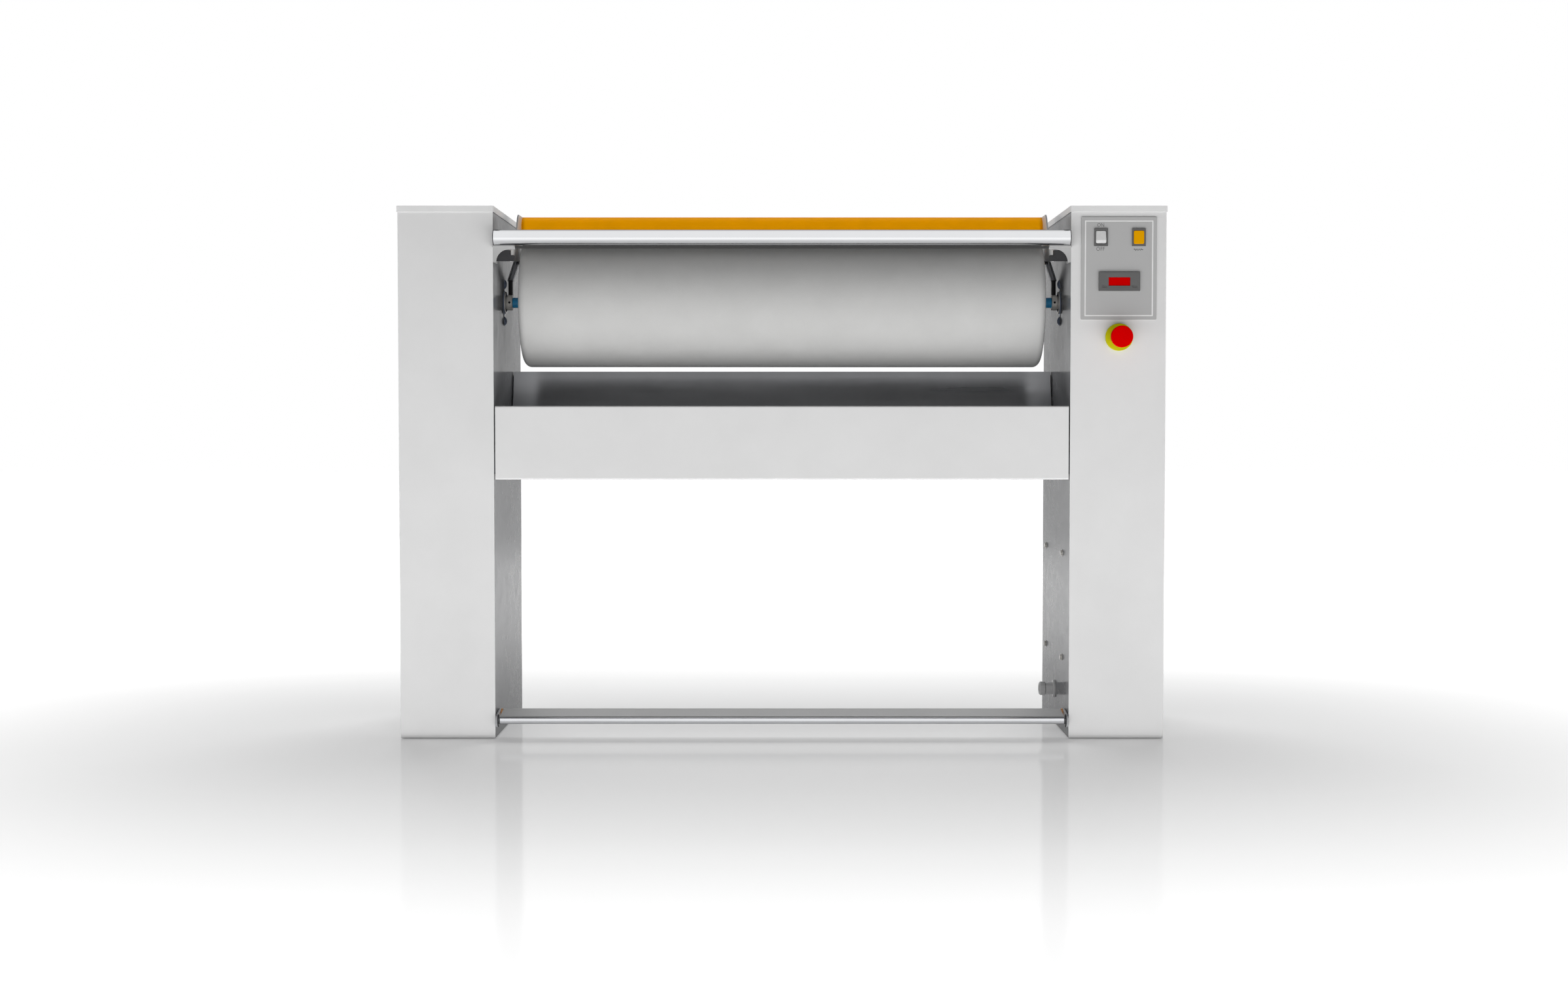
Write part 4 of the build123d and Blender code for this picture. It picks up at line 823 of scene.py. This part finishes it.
def lens_and_cap():
    """The pilot lamp's lens and the rocker's cap, which is creased below its middle."""
    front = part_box("lamp_lens")[0].y
    block = pillow((LAMP_X, SWITCH_Z), 19.3 * MM, 24.6 * MM, 2.6 * MM, front, front + 21 * MM,
                   0.7 * MM)
    piece("pilot_lens", block, "root", MATERIALS["amber_lens"], ["lamp_lens"])

    crease = -0.23 * 24.4 * MM
    slope_below, slope_above, sunk = -0.22, 0.16, 0.25 * MM

    def face(height):
        slope = slope_below if height < crease else slope_above
        return sunk + slope * (height - crease)

    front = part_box("rocker_key")[0].y
    lift = 0.35 * MM                             # keeps the tilted cap clear of its frame
    block = pillow((SWITCH_X, SWITCH_Z + lift), 19.2 * MM, 23.5 * MM, 2.5 * MM, front,
                   front + 11 * MM, 0.6 * MM, face, 20, 48)
    piece("rocker_cap", block, "rocker", MATERIALS["white_plastic"],
          ["rocker_key"], 6)


def controller():
    """Temperature controller: two key caps, the frame on its sleeve, the red display."""
    case_low, case_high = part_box("controller_case")
    case_x, _, case_z = middle("controller_case")
    glass_low, glass_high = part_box("display_window")
    glass_x, _, glass_z = middle("display_window")
    glass_w, glass_h = glass_high.x - glass_low.x, glass_high.z - glass_low.z
    holes = [box_loop(glass_w + 0.4 * MM, glass_h + 0.4 * MM, 0.4 * MM)]
    for name in ("left_key", "right_key"):
        low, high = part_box(name)
        x, _, z = middle(name)
        holes.append(box_loop(8.6 * MM, 3.0 * MM, 0.3 * MM, x - case_x, z - case_z))
        block = pillow((x, z + 0.2 * MM), 8.4 * MM, 2.5 * MM, 0.25 * MM, low.y + 0.5 * MM, high.y,
                       0.15 * MM, None, 12, 12)
        piece(name + "_cap", block, name.replace("key", "button"),
              MATERIALS["dark_plastic"], [name])

    sleeve, hollow = (68.7 * MM, 28.7 * MM, 1.5 * MM), (64.7 * MM, 24.7 * MM, 1 * MM)
    rise, deep, floor_thick = PLATE_Y - case_low.y, case_high.y - PLATE_Y, 2 * MM
    rim = slab([box_loop(77.3 * MM, 35.3 * MM, 0.7 * MM)] + holes, rise, 0.3 * MM, 3)
    front_plate(rim, case_x, case_low.y, case_z, rise)
    wall = slab([box_loop(*sleeve), box_loop(*hollow)], deep, 0.2 * MM, 1)
    front_plate(wall, case_x, PLATE_Y - 0.1 * MM, case_z, deep - 1.9 * MM)
    back = slab([box_loop(*sleeve)], floor_thick, 0.2 * MM, 1)
    front_plate(back, case_x, case_high.y - floor_thick, case_z, floor_thick)
    piece("controller_frame", join(rim, wall, back), "root",
          MATERIALS["dark_plastic"], ["controller_case"])

    gap, recess = 0.05 * MM, 0.9 * MM
    block = pillow((glass_x, glass_z), glass_w - gap, glass_h - gap, 0.5 * MM,
                   glass_low.y + recess, glass_high.y, 0.1 * MM, None, 8, 8)
    piece("display_glass", block, "root", MATERIALS["red_window"],
          ["display_window"])


def labels():
    """ON and OFF at the switch, the heater's zigzag under the lamp."""
    text("label_on", "ON", SWITCH_X - 0.5 * MM, 0.961, 5.9 * MM)
    text("label_off", "OFF", SWITCH_X - 0.8 * MM, 0.9164, 6.3 * MM)

    zig = [(-8.7, 0.7), (-6.9, 1.3), (-4.9, -1.6), (-2.9, 1.5), (-0.8, -1.6), (1.4, 1.5),
           (3.2, -1.5), (4.8, 1.5), (6.6, 0.0), (8.7, -0.2)]     # X and Z in mm
    curve = bpy.data.curves.new("zig", "CURVE")
    curve.dimensions = "3D"
    curve.bevel_depth = 0.7 * MM
    curve.bevel_resolution = 2
    curve.use_fill_caps = True
    spline = curve.splines.new("POLY")
    spline.points.add(len(zig) - 1)
    for point, (x, z) in zip(spline.points, zig):
        point.co = (x * MM, 0, z * MM, 1)
    mesh = mesh_of(curve)
    place = Matrix.Translation((LAMP_X - 0.5 * MM, PLATE_Y - 0.05 * MM, 0.9184))
    mesh.transform(place @ Matrix.Diagonal((1, 0.2, 1, 1)))
    piece("label_heater", mesh, "root", PRINT_DARK)


frame_line()
bezels()
lens_and_cap()
controller()
labels()


# ---------------------------------------------------------------- emergency stop
def emergency_stop():
    """Red mushroom head, and a yellow base with its barrel and nut."""
    x, _, z = middle("estop_base")
    stem, barrel, neck = 6.05 * MM, 11 * MM, 12 * MM
    head_low, head_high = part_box("estop_head")
    front, back = head_low.y, head_high.y
    r = (head_high.z - head_low.z) / 2
    thick, socket = 13 * MM, 6.6 * MM
    profile = corners([(front, 0), (front, r), (front + thick, r), (front + thick, neck),
                       (front + 17 * MM, barrel), (back, barrel), (back, stem),
                       (front + socket, stem), (front + socket, 0)],
                      [0, 0.9 * MM, 1.6 * MM, 1.5 * MM, 1 * MM, 0.4 * MM, 0, 0, 0], 6)
    piece("stop_mushroom", spin(profile, (x, z), "Y", 96, False), "stop_head",
          MATERIALS["red_plastic"], ["estop_head"])

    base_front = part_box("estop_base")[0].y
    base_r, base_thick, end = 25.5 * MM, 8 * MM, FRONT + 30 * MM
    base = corners([(base_front, stem), (base_front, neck), (FRONT - base_thick, neck),
                    (FRONT - base_thick, base_r), (FRONT - 4 * MM, base_r), (FRONT, base_r),
                    (FRONT, barrel), (end, barrel), (end, stem)],
                   [0, 0.5 * MM, 0.8 * MM, 0.8 * MM, 0, 0.2 * MM, 0, 0, 0], 5)
    nut_near, nut_far, nut_r = FRONT + 1.5 * MM, FRONT + 6.5 * MM, 15 * MM
    nut = corners([(nut_near, barrel), (nut_near, nut_r), (nut_far, nut_r), (nut_far, barrel)],
                  [0, 0.6 * MM, 0.6 * MM, 0], 3)
    rim = spin(base, (x, z), "Y", 96, True)
    piece("stop_base", join(rim, spin(nut, (x, z), "Y", 48, True)), "root",
          MATERIALS["yellow_plastic"], ["estop_base"])


emergency_stop()


# ---------------------------------------------------------------- cable gland
def gland():
    """Flange on the right inner wall, shank through it, ribbed nut and hexagonal lock nut."""
    _, y, z = middle("cable_gland")
    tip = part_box("cable_gland")[0].x
    bore, thread, shank_r = 7 * MM, 10 * MM, 12 * MM
    rim, flange_r, inside = WALL - 4 * MM, 17 * MM, WALL + 13 * MM
    flange = corners([(rim, bore), (rim, flange_r), (WALL, flange_r), (WALL, thread),
                      (inside, thread), (inside, bore)], [0, 1.2 * MM, 0, 0, 0.6 * MM, 0], 4)
    start = tip + 12.6 * MM
    shank = corners([(start, bore), (start, shank_r), (rim, shank_r), (rim, bore)],
                    [0, 0.6 * MM, 0, 0], 3)
    nut_r, ribbed_from, rib = 13.5 * MM, 12.4 * MM, 0.45 * MM

    def ribs(index, place, radius, angle):
        if radius > ribbed_from:
            radius -= rib * (0.5 + 0.5 * math.cos(18 * angle))
        return place, radius

    nut = corners([(tip, bore), (tip, 10.5 * MM), (tip + 2.5 * MM, nut_r), (tip + 12 * MM, nut_r),
                   (tip + 12 * MM, bore)], [0.4 * MM, 1.2 * MM, 1.4 * MM, 0.8 * MM, 0], 4)
    lock_thick = 5 * MM
    lock = slab([circle_loop(15 * MM, y, z, 6), circle_loop(10.05 * MM, y, z)], lock_thick,
                0.5 * MM)
    parts = [spin(flange, (y, z), "X", 64, True), spin(shank, (y, z), "X", 64, True),
             spin(nut, (y, z), "X", 216, True, ribs),
             side_plate(lock, WALL + WALL_SHEET, lock_thick)]
    piece("supply_gland", join(*parts), "root", MATERIALS["light_plastic"],
          ["cable_gland"])


gland()


# ---------------------------------------------------------------- floor, world and lamps
WHITE = (1, 1, 1, 1)
WORLD_LEVEL = 0.07                               # the world's light on the object
FLOOR_PAINT = (0.75, 0.75, 0.75, 1)
FLOOR_SHINE = 0.18                               # share of the floor that mirrors
FLOOR_GLOW_IN_PAINTED_SHADE = 0.18                                # the floor's own light near the object, kept low there as painted shade around it
FLOOR_FAR = 0.85                                 # and away from it
FOOTPRINT = (0.72, 0.2, 0)                       # the glow rises from this half size outwards
GLOW_FROM, GLOW_TO = -0.25, 2.1                  # distances over which it rises


def any_ray(tree, *kinds):
    """1 for the kinds of ray that are named, 0 for the others."""
    path = add_node(tree, "LightPath")
    value = path.outputs[kinds[0]]
    for kind in kinds[1:]:
        value = add_node(tree, "Math", {"operation": "MAXIMUM"}, i0=value,
                         i1=path.outputs[kind]).outputs[0]
    return value


def lay_floor():
    """Pale floor that keeps the object's shadow; its glow, low near the object as painted shade, turns
    white away from it.
    """
    mesh = bpy.data.meshes.new("floor")
    bm = bmesh.new()
    bmesh.ops.create_grid(bm, x_segments=4, y_segments=4, size=20)
    bm.to_mesh(mesh)
    bm.free()
    floor = bpy.data.objects.new("floor", mesh)
    bpy.context.scene.collection.objects.link(floor)
    mat = bpy.data.materials.new("floor_white")
    mat.use_nodes = True
    tree = mat.node_tree
    tree.nodes.clear()

    def vector_math(operation, *values):
        inputs = {f"i{k}": value for k, value in enumerate(values)}
        made = add_node(tree, "VectorMath", {"operation": operation}, **inputs)
        return made.outputs["Value" if operation == "LENGTH" else 0]

    paint = add_node(tree, "BsdfDiffuse", Color=FLOOR_PAINT)
    shine = add_node(tree, "BsdfGlossy", Roughness=0.09)
    surface = add_node(tree, "MixShader", i0=FLOOR_SHINE, i1=paint.outputs[0],
                       i2=shine.outputs[0])
    place = vector_math("ABSOLUTE", add_node(tree, "TexCoord").outputs["Object"])
    apart = vector_math("MAXIMUM", vector_math("SUBTRACT", place, FOOTPRINT), (0, 0, 0))
    rise = add_node(tree, "MapRange", {"interpolation_type": "SMOOTHSTEP"},
                    Value=vector_math("LENGTH", apart), From_Min=GLOW_FROM, From_Max=GLOW_TO,
                    To_Min=FLOOR_GLOW_IN_PAINTED_SHADE, To_Max=FLOOR_FAR)
    level = add_node(tree, "Math", {"operation": "MULTIPLY"},
                     i0=any_ray(tree, "Is Camera Ray", "Is Glossy Ray"),
                     i1=rise.outputs["Result"])
    glow = add_node(tree, "Emission", Strength=level.outputs[0])
    total = add_node(tree, "AddShader", i0=surface.outputs[0], i1=glow.outputs[0])
    add_node(tree, "OutputMaterial", Surface=total.outputs[0])
    mesh.materials.append(mat)


def light_world():
    """White where the camera, mirrors and glass see it, dim as a light on the object."""
    world = bpy.data.worlds.new("studio")
    bpy.context.scene.world = world
    world.use_nodes = True
    tree = world.node_tree
    tree.nodes.clear()
    dim = add_node(tree, "Background", Strength=WORLD_LEVEL, Color=WHITE)
    white = add_node(tree, "Background", Strength=1.0, Color=WHITE)
    seen = any_ray(tree, "Is Camera Ray", "Is Glossy Ray", "Is Transmission Ray")
    mix = add_node(tree, "MixShader", i0=seen, i1=dim.outputs[0], i2=white.outputs[0])
    add_node(tree, "OutputWorld", Surface=mix.outputs[0])


def area(name, place, target, width, height, radiance):
    """Area lamp of a given radiance, aimed at a point. The camera and mirrors don't see it."""
    lamp = bpy.data.lights.new(name, "AREA")
    lamp.shape = "RECTANGLE"
    lamp.size, lamp.size_y = width, height
    lamp.energy = radiance * math.pi * width * height
    obj = bpy.data.objects.new(name, lamp)
    bpy.context.scene.collection.objects.link(obj)
    obj.location = place
    obj.rotation_euler = (Vector(target) - Vector(place)).to_track_quat("-Z", "Y").to_euler()
    obj.visible_camera = False
    obj.visible_glossy = False


lay_floor()
light_world()
area("near_fill", (0, -0.4, 0.0015), (0, -0.4, 2.0), 7.0, 0.41, 1.35)
area("low_fill", (0, -1.6, 0.0015), (0, -1.6, 2.0), 7.0, 1.98, 2.05)
area("front_soft", (0, -6.0, 1.4), (0, 0, 0.8), 5.0, 1.4, 1.7)
area("back_soft", (0, 4.6, 3.4), (0, 0, 0.6), 5.0, 2.4, 5.7)
for side in (-1, 1):
    area("side_soft", (side * 5.0, 0.6, 1.6), (0, 0, 0.5), 3.0, 2.4, 2.2)


# ---------------------------------------------------------------- camera
CAMERA_SIDE, CAMERA_BACK, CAMERA_HEIGHT = 0.0038, 4.0834, 0.6072
CAMERA_DOWN = 2.3                                # degrees below level
camera = bpy.data.objects.new("camera", bpy.data.cameras.new("camera"))
bpy.context.scene.collection.objects.link(camera)
camera.data.lens = 50
camera.data.sensor_width = 36
camera.data.sensor_fit = "HORIZONTAL"
camera.location = (CAMERA_SIDE, FRONT - CAMERA_BACK, CAMERA_HEIGHT)
camera.rotation_euler = (math.radians(90 - CAMERA_DOWN), 0, 0)
bpy.context.scene.camera = camera
bpy.context.scene.view_settings.view_transform = "Standard"
